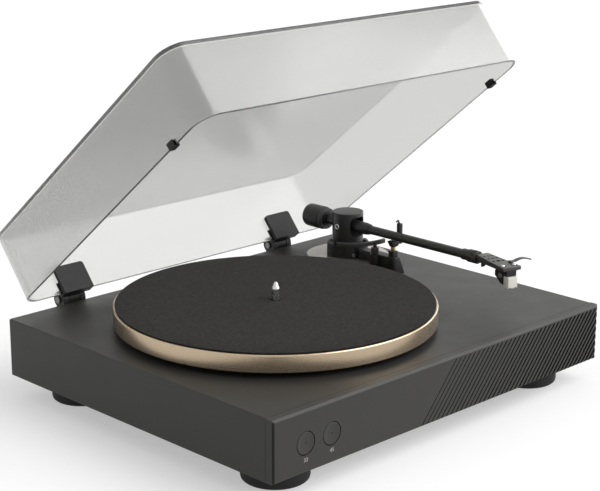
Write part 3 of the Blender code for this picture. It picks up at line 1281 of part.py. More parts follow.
def make_finger_lift(shell):
    """Make the thin curved lift; each section is a small rectangle, and the sections are lofted outward."""
    bm = bmesh.new()
    reach = SHELL_LENGTH - FINGER_SETBACK
    start = shell_half_width(reach) - FINGER_ROOT
    rings = []
    for step in range(FINGER_STEPS + 1):
        share = step / FINGER_STEPS
        x = start + FINGER_LENGTH * share
        rise = FINGER_RISE * math.sin(math.pi * max(0.0, share - FINGER_FLAT_SHARE) / FINGER_BEND_SHARE)
        low = GAP + max(rise, -FINGER_RISE)
        half = (FINGER_WIDTH + (FINGER_TIP_WIDTH - FINGER_WIDTH) * share) / 2
        rings.append([bm.verts.new(place) for place in (
            (x, -reach - half, low), (x, -reach + half, low),
            (x, -reach + half, low + FINGER_SHEET), (x, -reach - half, low + FINGER_SHEET))])
    for first, second in zip(rings, rings[1:]):
        for index in range(4):
            after = (index + 1) % 4
            bm.faces.new((first[index], first[after], second[after], second[index]))
    bm.faces.new(rings[0])
    bm.faces.new(rings[-1])
    bmesh.ops.recalc_face_normals(bm, faces=bm.faces)
    add_object("finger_lift", bm, shell, finish=SATIN_BLACK)


def is_front_edge(edge):
    """Pick the two crosswise edges at the front of the stylus unit."""
    return runs_along(edge, 0) and edge.verts[0].co.y < -CARTRIDGE_NOSE


def make_cartridge(shell):
    """Make the cartridge under the headshell, its two screws and the stylus unit."""
    rear = CARTRIDGE_REAR
    front = rear + CARTRIDGE_FLANGE_LENGTH
    flange = tapered_block(rear, front, SHELL_SKIRT + GAP, FLANGE_TOP, FLANGE_BOTTOM, FLANGE_BOTTOM)
    body = add_object("cartridge", flange, shell, finish=BLACK_PLASTIC)
    half = CARTRIDGE_WIDTH / 2
    overlap = CARTRIDGE_FLANGE / 2
    nose = span_bmesh((-half, -CARTRIDGE_NOSE, NOSE_BOTTOM), (half, -rear, FLANGE_BOTTOM + overlap))
    join(body, nose, "nose")
    keel = span_bmesh((-half + GAP, -CARTRIDGE_FACE, -CARTRIDGE_DROP),
                      (half - GAP, -rear - OVERRUN, NOSE_BOTTOM + overlap))
    join(body, keel, "keel")
    holes = []
    for x in (-SCREW_SPACING / 2, SCREW_SPACING / 2):
        hole = rod_bmesh(SCREW_RADIUS + SCREW_CLEARANCE, FLANGE_BOTTOM - OVERRUN, FLANGE_TOP + OVERRUN,
                         segments=SMALL_ROUND)
        holes.append(move_bmesh(hole, (x, -SCREW_REACH, 0.0)))
    cut(body, merge_bmeshes(holes), "screw_holes")
    end = FLANGE_BOTTOM - SCREW_GRIP
    seat = GAP - SHELL_RECESS_DEPTH
    screw = [
        (0.0, seat + SCREW_HEAD),
        (SCREW_HEAD_RADIUS, seat + SCREW_HEAD),
        (SCREW_HEAD_RADIUS, seat),
        (SCREW_RADIUS, seat),
        (SCREW_RADIUS, end),
        (0.0, end),
    ]
    for name, side in (("cartridge_screw_left", -1), ("cartridge_screw_right", 1)):
        place = (side * SCREW_SPACING / 2, -SCREW_REACH, 0.0)
        turned(name, screw, False, shell, place, finish=STEEL, segments=SMALL_ROUND)
    cap = span_bmesh((-half, -STYLUS_FRONT, -STYLUS_BOTTOM),
                     (half, -CARTRIDGE_FACE - GAP, NOSE_BOTTOM - GAP))
    bevel_where(cap, is_front_edge, STYLUS_CORNER, STYLUS_CORNER_STEPS)
    stylus = add_object("stylus", cap, shell, finish=WHITE_PLASTIC)
    tip = rod_bmesh(STYLUS_TIP_RADIUS, -STYLUS_BOTTOM - STYLUS_TIP_DROP, -STYLUS_BOTTOM + STYLUS_TIP_DROP,
                    segments=TINY_ROUND)
    join(stylus, move_bmesh(tip, (0.0, -STYLUS_TIP_REACH, 0.0)), "tip")


def make_counterweight(lift):
    """Make the rear stub, the sleeve on it, the dial ring and the weight."""
    start = BLOCK_LENGTH / 2 + GAP
    turned("counterweight_shaft", solid_profile(STUB_RADIUS, STUB_END, start), False, lift, (0.0, 0.0, 0.0),
           FACING_REAR, SATIN_BLACK)
    end = SLEEVE_START + SLEEVE_LENGTH
    sleeve = [
        (SLEEVE_RADIUS, end),
        (SLEEVE_RADIUS, SLEEVE_START + SLEEVE_HUB),
        (SLEEVE_HUB_RADIUS, SLEEVE_START + SLEEVE_HUB),
        (SLEEVE_HUB_RADIUS, SLEEVE_START),
        (SLEEVE_BORE, SLEEVE_START),
        (SLEEVE_BORE, end),
    ]
    turned("counterweight_sleeve", sleeve, True, lift, (0.0, 0.0, 0.0), FACING_REAR, BLACK_PLASTIC)
    bore = SLEEVE_RADIUS + GAP
    dial = ring_profile(DIAL_RADIUS, bore, DIAL_START + DIAL_LENGTH, DIAL_START)
    turned("force_dial", dial, True, lift, (0.0, 0.0, 0.0), FACING_REAR, GREY_PAINT, WIDE_ROUND)
    weight = [(WEIGHT_RADIUS - WEIGHT_EDGE, WEIGHT_END)]
    for step in range(1, WEIGHT_EDGE_STEPS + 1):
        angle = step / WEIGHT_EDGE_STEPS * math.pi / 2
        weight.append((WEIGHT_RADIUS - WEIGHT_EDGE * (1 - math.sin(angle)),
                       WEIGHT_END - WEIGHT_EDGE * (1 - math.cos(angle))))
    weight += [(WEIGHT_RADIUS, WEIGHT_START), (bore, WEIGHT_START), (bore, WEIGHT_END)]
    turned("counterweight", weight, True, lift, (0.0, 0.0, 0.0), FACING_REAR, SATIN_BLACK, WIDE_ROUND)


def arc_bar(inner, outer, low, high):
    """Make the curved bar of the lift, swept about the arm's upright axis."""
    bm = bmesh.new()
    rings = []
    for step in range(BAR_STEPS + 1):
        angle = BAR_START + BAR_SWEEP * step / BAR_STEPS
        rings.append([bm.verts.new((radius * math.cos(angle), radius * math.sin(angle), height))
                      for radius, height in ((inner, low), (outer, low), (outer, high), (inner, high))])
    for first, second in zip(rings, rings[1:]):
        for index in range(4):
            after = (index + 1) % 4
            bm.faces.new((first[index], first[after], second[after], second[index]))
    bm.faces.new(rings[0])
    bm.faces.new(rings[-1])
    bmesh.ops.recalc_face_normals(bm, faces=bm.faces)
    return bm


def make_lift(deck):
    """Make the cueing lift: its cylinder, the curved bar with its rod, and the lever."""
    place = (LIFT_REACH * math.cos(LIFT_ANGLE), LIFT_REACH * math.sin(LIFT_ANGLE), 0.0)
    bottom = LIFT_BOSS_HEIGHT + GAP
    bore = ROD_RADIUS + GAP
    cylinder = [
        (0.0, bottom + LIFT_FLOOR),
        (bore, bottom + LIFT_FLOOR),
        (bore, LIFT_TOP),
        (LIFT_RADIUS, LIFT_TOP),
        (LIFT_RADIUS, bottom),
        (0.0, bottom),
    ]
    turned("lift_cylinder", cylinder, False, deck, place, finish=SATIN_BLACK)
    bar = arc_bar(LIFT_REACH - BAR_THICKNESS / 2, LIFT_REACH + BAR_THICKNESS / 2,
                  BAR_BOTTOM, BAR_BOTTOM + BAR_HEIGHT)
    lift_bar = add_object("lift_bar", bar, deck, finish=SATIN_BLACK)
    rod = rod_bmesh(ROD_RADIUS, bottom + LIFT_FLOOR + GAP, BAR_BOTTOM + BAR_HEIGHT / 2, segments=SMALL_ROUND)
    join(lift_bar, move_bmesh(rod, place), "rod")
    face = BEAM_X + BEAM_WIDTH / 2
    axis = make_frame("lever_axis", (0.0, -LEVER_REACH, LEVER_HEIGHT), deck)
    inner = face + LEVER_OFFSET
    disc = rod_bmesh(LEVER_WIDTH / 2, inner, inner + LEVER_THICKNESS, axis=0, segments=SMALL_ROUND)
    lever = add_object("cue_lever", disc, axis, finish=SATIN_BLACK)
    arm = span_bmesh((inner + GAP / 2, -LEVER_LENGTH, -LEVER_ARM_HEIGHT / 2),
                     (inner + LEVER_THICKNESS - GAP / 2, 0.0, LEVER_ARM_HEIGHT / 2))
    join(lever, arm, "arm")
    pad = rod_bmesh(LEVER_PAD_RADIUS, inner, inner + LEVER_THICKNESS, axis=0, segments=SMALL_ROUND)
    join(lever, move_bmesh(pad, (0.0, -LEVER_LENGTH, 0.0)), "pad")
    shaft = rod_bmesh(LEVER_SHAFT_RADIUS, face - LEVER_SHAFT_DEPTH + GAP, inner + LEVER_THICKNESS / 2, axis=0,
                      segments=SMALL_ROUND)
    join(lever, shaft, "shaft")


def make_rest(deck):
    """Make the arm rest, the screw it stands on and the clip that closes over the tube."""
    place = (REST_X, -REST_REACH, 0.0)
    top = ARM_AXIS_HEIGHT - TUBE_RADIUS - REST_TUBE_CLEARANCE
    post_x = TUBE_RADIUS + REST_WALL_CLEARANCE + POST_RADIUS
    cradle = span_bmesh((-REST_WIDTH / 2, -REST_LENGTH / 2, REST_BOTTOM),
                        (post_x - REST_X, REST_LENGTH / 2, top))
    for vert in cradle.verts:
        if vert.co.z < top - GAP:
            vert.co.x *= REST_FOOT_SHARE
            vert.co.y *= REST_FOOT_SHARE + (1 - REST_FOOT_SHARE) / 2
    rest = add_object("arm_rest", cradle, deck, place, finish=SATIN_BLACK)
    post = rod_bmesh(POST_RADIUS, REST_BOTTOM + POST_ROOT, POST_TOP, segments=SMALL_ROUND)
    join(rest, move_bmesh(post, (post_x - REST_X, 0.0, 0.0)), "post")
    hole_top = REST_BOTTOM + REST_SCREW_GRIP
    hole = rod_bmesh(REST_SCREW_RADIUS + GAP, REST_BOTTOM - OVERRUN, hole_top, segments=SMALL_ROUND)
    cut(rest, hole, "screw_hole")
    slot_low = POST_TOP - CLIP_SLOT_DEPTH
    slot = span_bmesh((-2 * POST_RADIUS, -CLIP_BLADE / 2 - GAP, slot_low),
                      (2 * POST_RADIUS, CLIP_BLADE / 2 + GAP, POST_TOP + OVERRUN))
    cut(rest, move_bmesh(slot, (post_x - REST_X, 0.0, 0.0)), "clip_slot")
    pin_height = slot_low + CLIP_EYE_RADIUS + GAP
    screw = [
        (0.0, hole_top - GAP),
        (REST_SCREW_RADIUS, hole_top - GAP),
        (REST_SCREW_RADIUS, REST_BOTTOM - GAP),
        (REST_SCREW_HEAD_RADIUS, REST_BOTTOM - GAP),
        (REST_SCREW_HEAD_RADIUS, REST_BOTTOM - GAP - REST_SCREW_HEAD),
        (REST_SCREW_RADIUS, REST_BOTTOM - GAP - REST_SCREW_HEAD),
        (REST_SCREW_RADIUS, BEAM_HEIGHT + 2 * GAP),
        (0.0, BEAM_HEIGHT + 2 * GAP),
    ]
    turned("rest_screw", screw, False, deck, place, finish=BRASS, segments=SMALL_ROUND)
    axis = make_frame("clip_axis", (post_x, -REST_REACH, pin_height), deck)
    eye = rod_bmesh(CLIP_EYE_RADIUS, -CLIP_BLADE / 2, CLIP_BLADE / 2, axis=1, segments=SMALL_ROUND)
    clip = add_object("arm_clip", eye, axis, finish=SATIN_BLACK)
    lean = Matrix.Rotation(CLIP_LEAN, 3, "Y")
    blade = span_bmesh((-CLIP_EYE_RADIUS / 2, -CLIP_BLADE / 2, 0.0),
                       (CLIP_EYE_RADIUS / 2, CLIP_BLADE / 2, CLIP_REACH))
    bmesh.ops.rotate(blade, cent=(0.0, 0.0, 0.0), matrix=lean, verts=blade.verts)
    join(clip, blade, "blade")
    hook = span_bmesh((-CLIP_HOOK, -CLIP_BLADE / 2, CLIP_REACH - CLIP_EYE_RADIUS),
                      (0.0, CLIP_BLADE / 2, CLIP_REACH))
    bmesh.ops.rotate(hook, cent=(0.0, 0.0, 0.0), matrix=lean, verts=hook.verts)
    join(clip, hook, "hook")


def make_skate_knob(deck):
    """Make the anti-skating knob on the outer side of the drum, with a flat on its face."""
    start = DRUM_RADIUS + GAP
    end = start + SKATE_LENGTH
    inner = DRUM_RADIUS - SKATE_SHAFT_DEPTH
    profile = [
        (0.0, end),
        (SKATE_RADIUS - SKATE_FLAT, end),
        (SKATE_RADIUS, end - SKATE_FLAT),
        (SKATE_RADIUS, start),
        (SKATE_SHAFT_RADIUS, start),
        (SKATE_SHAFT_RADIUS, inner),
        (0.0, inner),
    ]
    knob = turned("anti_skate_knob", profile, False, deck, (0.0, 0.0, SKATE_HEIGHT), ALONG_X, SATIN_BLACK)
    notch = span_bmesh((-SKATE_RADIUS, -SKATE_FLAT / 2, end - SKATE_FLAT),
                       (-SKATE_MARK_START, SKATE_FLAT / 2, end + OVERRUN))
    cut(knob, notch, "mark")


def main():
    """Make every piece of the turntable."""
    make_plinth()
    make_front_panel()
    make_bottom_cover()
    make_feet()
    make_bearing()
    make_platter()
    make_motor()
    make_belt()
    make_circuit_board()
    make_switch_board()
    make_buttons()
    make_terminals()
    cover_axis = make_frame("cover_axis", (0.0, HINGE_BACK, TOP + HINGE_RISE), BASE, (-COVER_OPEN, 0.0, 0.0))
    make_cover(cover_axis)
    make_hinge("left", -HINGE_X, cover_axis)
    make_hinge("right", HINGE_X, cover_axis)
    deck = make_arm_base()
    swing = make_frame("swing_axis", (0.0, 0.0, 0.0), deck)
    make_housing(swing)
    lift = make_frame("lift_axis", (0.0, 0.0, ARM_AXIS_HEIGHT), swing)
    make_pivots(swing, lift)
    make_arm_root(lift)
    make_arm_tube(lift)
    shell = make_frame("shell_frame", (0.0, -SHELL_START, SHELL_RISE), lift, (0.0, 0.0, -SHELL_OFFSET))
    make_headshell(shell)
    make_finger_lift(shell)
    make_cartridge(shell)
    make_counterweight(lift)
    make_lift(deck)
    make_rest(deck)
    make_skate_knob(deck)


main()
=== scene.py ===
"""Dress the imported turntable: finer pieces, finishes, a pale floor, soft light and the camera.

The file is laid out as an add-on and run as a script. +Z is up and the front panel faces -Y, as in the frame.
Pieces are worked out with numpy in millimetres, and skin() turns them into the frame's metres; settings,
finishes and the stage are in metres. A new piece stands for a solid of the frame, lies where that solid lies,
and rides on the same body; a few small ones only add detail to their neighbours.
"""
import json
import math

import bmesh
import bpy
import numpy as np
from mathutils import Matrix, Vector


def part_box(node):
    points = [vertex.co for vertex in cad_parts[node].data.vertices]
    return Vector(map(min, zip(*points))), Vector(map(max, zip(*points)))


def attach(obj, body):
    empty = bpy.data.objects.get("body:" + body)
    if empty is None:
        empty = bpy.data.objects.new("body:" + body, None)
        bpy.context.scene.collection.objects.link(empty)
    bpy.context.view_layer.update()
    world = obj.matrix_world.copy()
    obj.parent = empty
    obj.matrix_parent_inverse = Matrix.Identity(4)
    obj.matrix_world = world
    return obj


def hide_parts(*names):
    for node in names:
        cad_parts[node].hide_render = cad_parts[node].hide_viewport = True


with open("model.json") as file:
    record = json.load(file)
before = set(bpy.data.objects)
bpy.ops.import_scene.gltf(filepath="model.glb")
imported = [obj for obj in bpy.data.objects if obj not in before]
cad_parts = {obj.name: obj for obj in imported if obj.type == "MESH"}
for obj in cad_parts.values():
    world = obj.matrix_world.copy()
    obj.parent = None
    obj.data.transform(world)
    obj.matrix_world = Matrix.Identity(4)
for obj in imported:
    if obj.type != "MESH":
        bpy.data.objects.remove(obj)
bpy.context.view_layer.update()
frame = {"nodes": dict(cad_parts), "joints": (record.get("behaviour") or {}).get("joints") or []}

bl_info = {
    "name": "Turntable dressing",
    "version": (1, 0, 0),
    "blender": (4, 5, 0),
    "location": "3D View > Sidebar > Turntable",
    "description": "Finer pieces and finishes for a turntable with a hinged dust cover",
    "category": "Object",
}

MM = 1000.0  # millimetres in a metre
CREASE = 32.0  # degrees between two faces from which their edge stays sharp
ROUNDING_STEPS = 4  # lines in a profile's rounded corner
EDGE_STEPS = 3  # lines in a block's rounded edge
FULL_BEND = 0.35  # radians of bend that count as a whole edge
SIDE_SHARE = 0.48  # how much of a profile's side one rounded corner may take
HAIR = 0.05  # the rounding of a sharp cut, in millimetres
DOUBLES = 1e-7  # points nearer than this are one, in metres
FLAT, CORNER = 0.5, 35.0  # degrees: faces nearer than the first are one, edges past the second are bevelled


# Places, in millimetres

def low(node):
    """Give a solid's lowest corner."""
    return MM * np.array(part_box(node)[0])


def high(node):
    """Give a solid's highest corner."""
    return MM * np.array(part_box(node)[1])


def middle(node):
    """Give the middle of a solid's box."""
    return (low(node) + high(node)) / 2


def half_width(node):
    """Give half a solid's width, which is the radius of a round one."""
    return (high(node)[0] - low(node)[0]) / 2


def shift(x=0.0, y=0.0, z=0.0):
    """Give the 4 by 4 matrix of a move."""
    matrix = np.eye(4)
    matrix[:3, 3] = (x, y, z)
    return matrix


def turn(angle, axis):
    """Give the 4 by 4 matrix of a turn about one of the three axes."""
    first, second = [(1, 2), (2, 0), (0, 1)][axis]
    matrix = np.eye(4)
    matrix[first, first] = matrix[second, second] = math.cos(angle)
    matrix[second, first] = math.sin(angle)
    matrix[first, second] = -math.sin(angle)
    return matrix


def upright(node):
    """Give the place of a solid's own vertical axis, at the frame's height 0."""
    return shift(*middle(node)[:2])


JOINTS = {joint["name"]: joint for joint in frame["joints"]}
TOP = high("plinth")[2]
PIVOT = MM * np.array(JOINTS["arm_swing"]["pos_m"])
HINGE = MM * np.array(JOINTS["cover_hinge"]["pos_m"])
COVER_OPEN = math.radians(-JOINTS["cover_hinge"]["range_deg"][0])
PLINTH_HEIGHT = 55.0
SHELL_TURN, SHELL_START, SHELL_RISE = math.radians(-18.0), 182.1, 4.8  # where the headshell's rear sits
SHELL_LENGTH, SHELL_REAR, SHELL_FRONT = 50.0, 13.8, 21.0  # its length and its two widths
SCREW_ACROSS, SCREW_REACH = 6.35, 43.0  # its two screws: to each side, and from its rear
LIFT_REACH, LIFT_ANGLE = 47.4, math.radians(-100)  # the lift cylinder, seen from the pivot

# Each of these is a place to build in: its own origin and axes
FACING_FRONT = turn(math.pi / 2, 0)
FACING_REAR = turn(-math.pi / 2, 0)
FACING_RIGHT = turn(math.pi / 2, 1)
DECK = shift(PIVOT[0], PIVOT[1], TOP)
ARM = shift(*PIVOT)
FORWARD = ARM @ FACING_FRONT
BACKWARD = ARM @ FACING_REAR
ACROSS = ARM @ FACING_RIGHT
SHELL = ARM @ shift(0.0, -SHELL_START, SHELL_RISE) @ turn(SHELL_TURN, 2)
COVER = shift(*HINGE) @ turn(-COVER_OPEN, 0)
LIFT = DECK @ shift(LIFT_REACH * math.cos(LIFT_ANGLE), LIFT_REACH * math.sin(LIFT_ANGLE))
LEVER = DECK @ shift(0.0, -40.0, 13.0)
KNOB = DECK @ shift(0.0, 0.0, 13.9) @ FACING_RIGHT
REST = DECK @ shift(-1.0, -65.2)


# Surfaces, in millimetres

def skin(name, rings, at, closed=False, edge=None, crease=CREASE):
    """Cover a grid of points with four-sided faces.

    Row i is one ring and column j a point on it, and the last column joins the first. The first and last
    rings are capped, or joined to each other when closed. Each ring may carry a share from 0 to 1 that says
    how much of an edge it is, kept as the attribute "edge", and "along" keeps the length down the rows.
    """
    rings = np.asarray(rings, float)
    rows, columns = rings.shape[:2]
    index = np.arange(rows * columns).reshape(rows, columns)
    across = np.vstack([index, index[:1]]) if closed else index
    first, second = across[:-1], across[1:]
    faces = np.stack([first, np.roll(first, -1, 1), np.roll(second, -1, 1), second], -1).reshape(-1, 4).tolist()
    if not closed:
        faces += [index[0].tolist(), index[-1][::-1].tolist()]
    mesh = bpy.data.meshes.new(name)
    mesh.from_pydata((rings.reshape(-1, 3) @ at[:3, :3].T + at[:3, 3]) / MM, [], faces)
    steps = np.linalg.norm(np.diff(rings, axis=0), axis=2).mean(1) / MM
    along = np.concatenate([[0.0], np.cumsum(steps)])
    share = np.zeros(rows) if edge is None else np.asarray(edge, float)
    for label, values in (("along", along), ("edge", share)):
        attribute = mesh.attributes.new(label, "FLOAT", "POINT")
        attribute.data.foreach_set("value", np.repeat(values, columns).astype(np.float32))
    return settle(name, mesh, crease)


def put(name, data):
    """Make an object of its data and put it in the scene."""
    made = bpy.data.objects.new(name, data)
    bpy.context.scene.collection.objects.link(made)
    return made


def smooth(mesh, crease):
    """Shade a mesh smooth, but keep its edges sharp from an angle in degrees."""
    mesh.shade_smooth()
    mesh.set_sharp_from_angle(angle=math.radians(crease))


def evaluated(piece):
    """Give the mesh that a piece and its modifiers come to."""
    bpy.context.view_layer.update()
    return bpy.data.meshes.new_from_object(piece.evaluated_get(bpy.context.evaluated_depsgraph_get()))


def settle(name, mesh, crease=CREASE):
    """Weld a mesh's doubles, turn its faces outwards, set its creases and make it an object."""
    work = bmesh.new()
    work.from_mesh(mesh)
    bmesh.ops.remove_doubles(work, verts=work.verts, dist=DOUBLES)
    bmesh.ops.recalc_face_normals(work, faces=work.faces)
    work.to_mesh(mesh)
    work.free()
    smooth(mesh, crease)
    return put(name, mesh)


def rounded(points, radius, loop=False):
    """Round a profile's corners.

    Each corner P becomes (1-s)^2 A + 2 s (1-s) P + s^2 B, where A and B lie on the two sides at the radius
    from P, or nearer on a short side. Further columns of the profile are blended in the same way.
    """
    points = np.asarray(points, float)
    before, after = np.roll(points, 1, 0), np.roll(points, -1, 0)
    radius = np.broadcast_to(radius, len(points)).astype(float)[:, None]
    spans = [np.linalg.norm(other[:, :2] - points[:, :2], axis=1)[:, None] for other in (before, after)]
    first, last = [points + (other - points) * np.minimum(radius / np.maximum(span, 1e-6), SIDE_SHARE)
                   for other, span in zip((before, after), spans)]
    share = np.linspace(0.0, 1.0, ROUNDING_STEPS + 1)[None, :, None]
    curve = (1 - share) ** 2 * first[:, None] + 2 * share * (1 - share) * points[:, None] + share ** 2 * last[:, None]
    if not loop:
        curve[0], curve[-1] = points[0], points[-1]
    flat = curve.reshape(-1, points.shape[1])
    return flat[np.concatenate([[True], np.linalg.norm(np.diff(flat, axis=0), axis=1) > 1e-5])]


def bend_shares(profile):
    """Give each profile point a share that grows with how sharply the profile bends there."""
    steps = np.diff(profile[:, :2], axis=0, prepend=profile[:1, :2], append=profile[-1:, :2])
    change = np.abs((np.diff(np.arctan2(steps[:, 1], steps[:, 0])) + math.pi) % math.tau - math.pi)
    change[[0, -1]] = 0.0
    return np.clip(change / FULL_BEND, 0.0, 1.0)


def turned(name, profile, at, columns, soft, loop=False, ridges=0):
    """Turn a profile of (radius, height) about the local Z axis.

    Point (r, h) and angle a give (r cos a, r sin a, h). With ridges, a row may carry a third number, the
    depth d of the grip there, and the radius is r - d (1 + cos(ridges a)) / 2.
    """
    profile = rounded([(*row, 0.0)[:3] for row in profile], soft, loop)
    angle = np.linspace(0.0, math.tau, columns, endpoint=False)
    radius = profile[:, :1] - profile[:, 2:] * (1 + np.cos(ridges * angle)) / 2
    rings = np.stack([radius * np.cos(angle), radius * np.sin(angle),
                      np.repeat(profile[:, 1:2], columns, axis=1)], -1)
    return skin(name, rings, at, loop, bend_shares(profile))


def outline(half_x, half_y, corner, steps=6):
    """Give a rounded rectangle: quarter circles of one radius about the four corner centres."""
    angle = np.linspace(0.0, math.pi / 2, steps + 1)[None, :] + np.arange(4)[:, None] * math.pi / 2
    x = np.array([1, -1, -1, 1])[:, None] * (half_x - corner) + corner * np.cos(angle)
    y = np.array([1, 1, -1, -1])[:, None] * (half_y - corner) + corner * np.sin(angle)
    return np.stack([x.ravel(), y.ravel()], -1)


def raised(flat, level):
    """Give a flat outline its height."""
    return np.column_stack([flat, np.full(len(flat), level)])


def rounding(edge, first, second):
    """Give the cuts and levels that round both ends of a span, and how much of an edge each level is.

    Near an end the section is cut by edge (1 - sin q) while it moves in by edge (1 - cos q).
    """
    quarter = np.linspace(0.0, math.pi / 2, EDGE_STEPS + 1)
    cuts, rise, share = edge * (1 - np.sin(quarter)), edge * (1 - np.cos(quarter)), np.sin(2 * quarter)
    return [np.concatenate(pair) for pair in (
        (cuts, cuts[::-1]), (first + rise, second - rise[::-1]), (share, share[::-1]))]


def slab(name, first, second, at, corner, edge, axis=2, shape=None):
    """Make a block between two corners, a rounded rectangle at each level along one axis.

    Its edges are rounded as in rounding(), and shape may bend its points.
    """
    order = [(1, 2, 0), (2, 0, 1), (0, 1, 2)][axis]
    first, second = np.array(first)[list(order)], np.array(second)[list(order)]
    half, centre, corner = (second - first) / 2, (second + first) / 2, max(corner, edge)
    cuts, levels, share = rounding(edge, first[2], second[2])
    rings = np.array([raised(outline(half[0] - cut, half[1] - cut, max(corner - cut, 0.001)) + centre[:2], level)
                      for cut, level in zip(cuts, levels)])
    points = np.empty_like(rings)
    points[..., list(order)] = rings
    return skin(name, points if shape is None else shape(points), at, edge=share)


def prism(name, profile, first, second, at, corner, edge):
    """Carry a closed (y, z) outline along X between two places, its corners rounded and its ends as in rounding()."""
    loop = rounded(profile, corner, loop=True)
    centre, half = (loop.max(0) + loop.min(0)) / 2, np.ptp(loop, axis=0) / 2
    cuts, levels, share = rounding(edge, first, second)
    flat = centre + (loop - centre) * (1 - cuts[:, None, None] / half)
    rings = np.concatenate([np.broadcast_to(levels[:, None, None], flat.shape[:2] + (1,)), flat], -1)
    return skin(name, rings, at, edge=share)


def swept(name, path, section, at, width=1.0):
    """Carry a closed section along a path: its x lies level across the path, scaled by width, and its y upright."""
    tangent = np.gradient(path, axis=0)
    tangent /= np.linalg.norm(tangent, axis=1)[:, None]
    side = np.cross((0.0, 0.0, 1.0), tangent)
    side /= np.linalg.norm(side, axis=1)[:, None]
    lift = np.cross(tangent, side)
    width = np.broadcast_to(width, len(path))
    rings = (path[:, None] + (width[:, None] * section[:, 0])[..., None] * side[:, None]
             + section[None, :, 1, None] * lift[:, None])
    return skin(name, rings, at)


def rod(radius, start, end, at, columns=32, soft=0.0):
    """Make a round bar along the local Z axis, for cutting and joining."""
    return turned("rod", [(0, start), (radius, start), (radius, end), (0, end)], at, columns, soft)


def fuse(piece, others, operation="DIFFERENCE"):
    """Cut other closed pieces out of a piece, or join them to it, and keep only the result."""
    for other in others:
        modifier = piece.modifiers.new("fuse", "BOOLEAN")
        modifier.operation = operation
        modifier.solver = "EXACT"
        modifier.object = other
    mesh = evaluated(piece)
    piece.modifiers.clear()
    old, piece.data = piece.data, mesh
    mesh.name = piece.name
    bpy.data.meshes.remove(old)
    for other in others:
        leftover = other.data
        bpy.data.objects.remove(other)
        bpy.data.meshes.remove(leftover)
    smooth(mesh, CREASE)


def dress(piece, look, body, slot, *nodes):
    """Give a piece its finish and its body, and let it stand for solids of the frame; its slot is not used."""
    piece.data.materials.clear()
    piece.data.materials.append(finish(look))
    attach(piece, body)
    if nodes:
        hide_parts(*nodes)


def lathe(name, profile, at, columns, soft, look, body, slot, *nodes, notch=None, **how):
    """Turn a profile, cut a sharp notch between two corners if there is one, and dress the piece."""
    piece = turned(name, profile, at, columns, soft, **how)
    if notch:
        fuse(piece, [slab("notch", *notch, at, 0.0, HAIR)])
    dress(piece, look, body, slot, *nodes)


def paint(look, *nodes):
    """Give solids of the frame their finish."""
    for node in nodes:
        materials = frame["nodes"][node].data.materials
        materials.clear()
        materials.append(finish(look))


def soften(width, *nodes, segments=2):
    """Round the edges of solids of the frame: weld them, merge their flat faces, then bevel what is sharp."""
    for node in nodes:
        modifiers = frame["nodes"][node].modifiers
        modifiers.new("weld", "WELD").merge_threshold = 1e-6
        flat = modifiers.new("flat", "DECIMATE")
        flat.decimate_type = "DISSOLVE"
        flat.angle_limit = math.radians(FLAT)
        bevel = modifiers.new("edges", "BEVEL")
        bevel.width = width / MM
        bevel.segments = segments
        bevel.limit_method = "ANGLE"
        bevel.angle_limit = math.radians(CORNER)
        bevel.harden_normals = True


# Shader parts

FLOAT, COLOUR, VECTOR = "NodeSocketFloat", "NodeSocketColor", "NodeSocketVector"
GROUPS, MATERIALS = {}, {}


def fill(tree, node, inputs):
    """Give a node's inputs their values or links."""
    for key, value in inputs.items():
        if isinstance(value, bpy.types.NodeSocket):
            tree.links.new(value, node.inputs[key])
        else:
            node.inputs[key].default_value = value
    return node


def add(tree, kind, inputs, **settings):
    """Add a shader node of a kind, with values or links for its inputs, and give its outputs."""
    made = tree.nodes.new("ShaderNode" + kind)
    for key, value in settings.items():
        setattr(made, key, value)
    return fill(tree, made, inputs).outputs


def calc(tree, operation, *values, clamp=False):
    """Calculate with one to three values."""
    return add(tree, "Math", dict(enumerate(values)), operation=operation, use_clamp=clamp)[0]


def remap(tree, value, start, end, first=0.0, last=1.0):
    """Bring a value from one range to another, and hold it there."""
    return add(tree, "MapRange", {"Value": value, 1: start, 2: end, 3: first, 4: last})[0]


def blend(tree, share, first, second):
    """Mix two colours."""
    return add(tree, "Mix", {0: share, 6: first, 7: second}, data_type="RGBA")[2]


def scaled(tree, colour, share):
    """Make a colour lighter or darker."""
    return add(tree, "VectorMath", {0: colour, "Scale": share}, operation="SCALE")[0]


def noise(tree, place, scale, detail, **inputs):
    """Give noise at a place."""
    return add(tree, "TexNoise", {"Vector": place, "Scale": scale, "Detail": detail, **inputs})["Fac"]


def attribute(tree, name):
    """Read a mesh attribute."""
    return add(tree, "Attribute", {}, attribute_name=name)["Fac"]


def start_group(name, inputs, outputs):
    """Start a node group whose sockets have these kinds."""
    group = bpy.data.node_groups.new(name, "ShaderNodeTree")
    for way, sockets in (("INPUT", inputs), ("OUTPUT", outputs)):
        for label, kind in sockets.items():
            group.interface.new_socket(label, in_out=way, socket_type=kind)
    return group, group.nodes.new("NodeGroupInput").outputs, group.nodes.new("NodeGroupOutput")


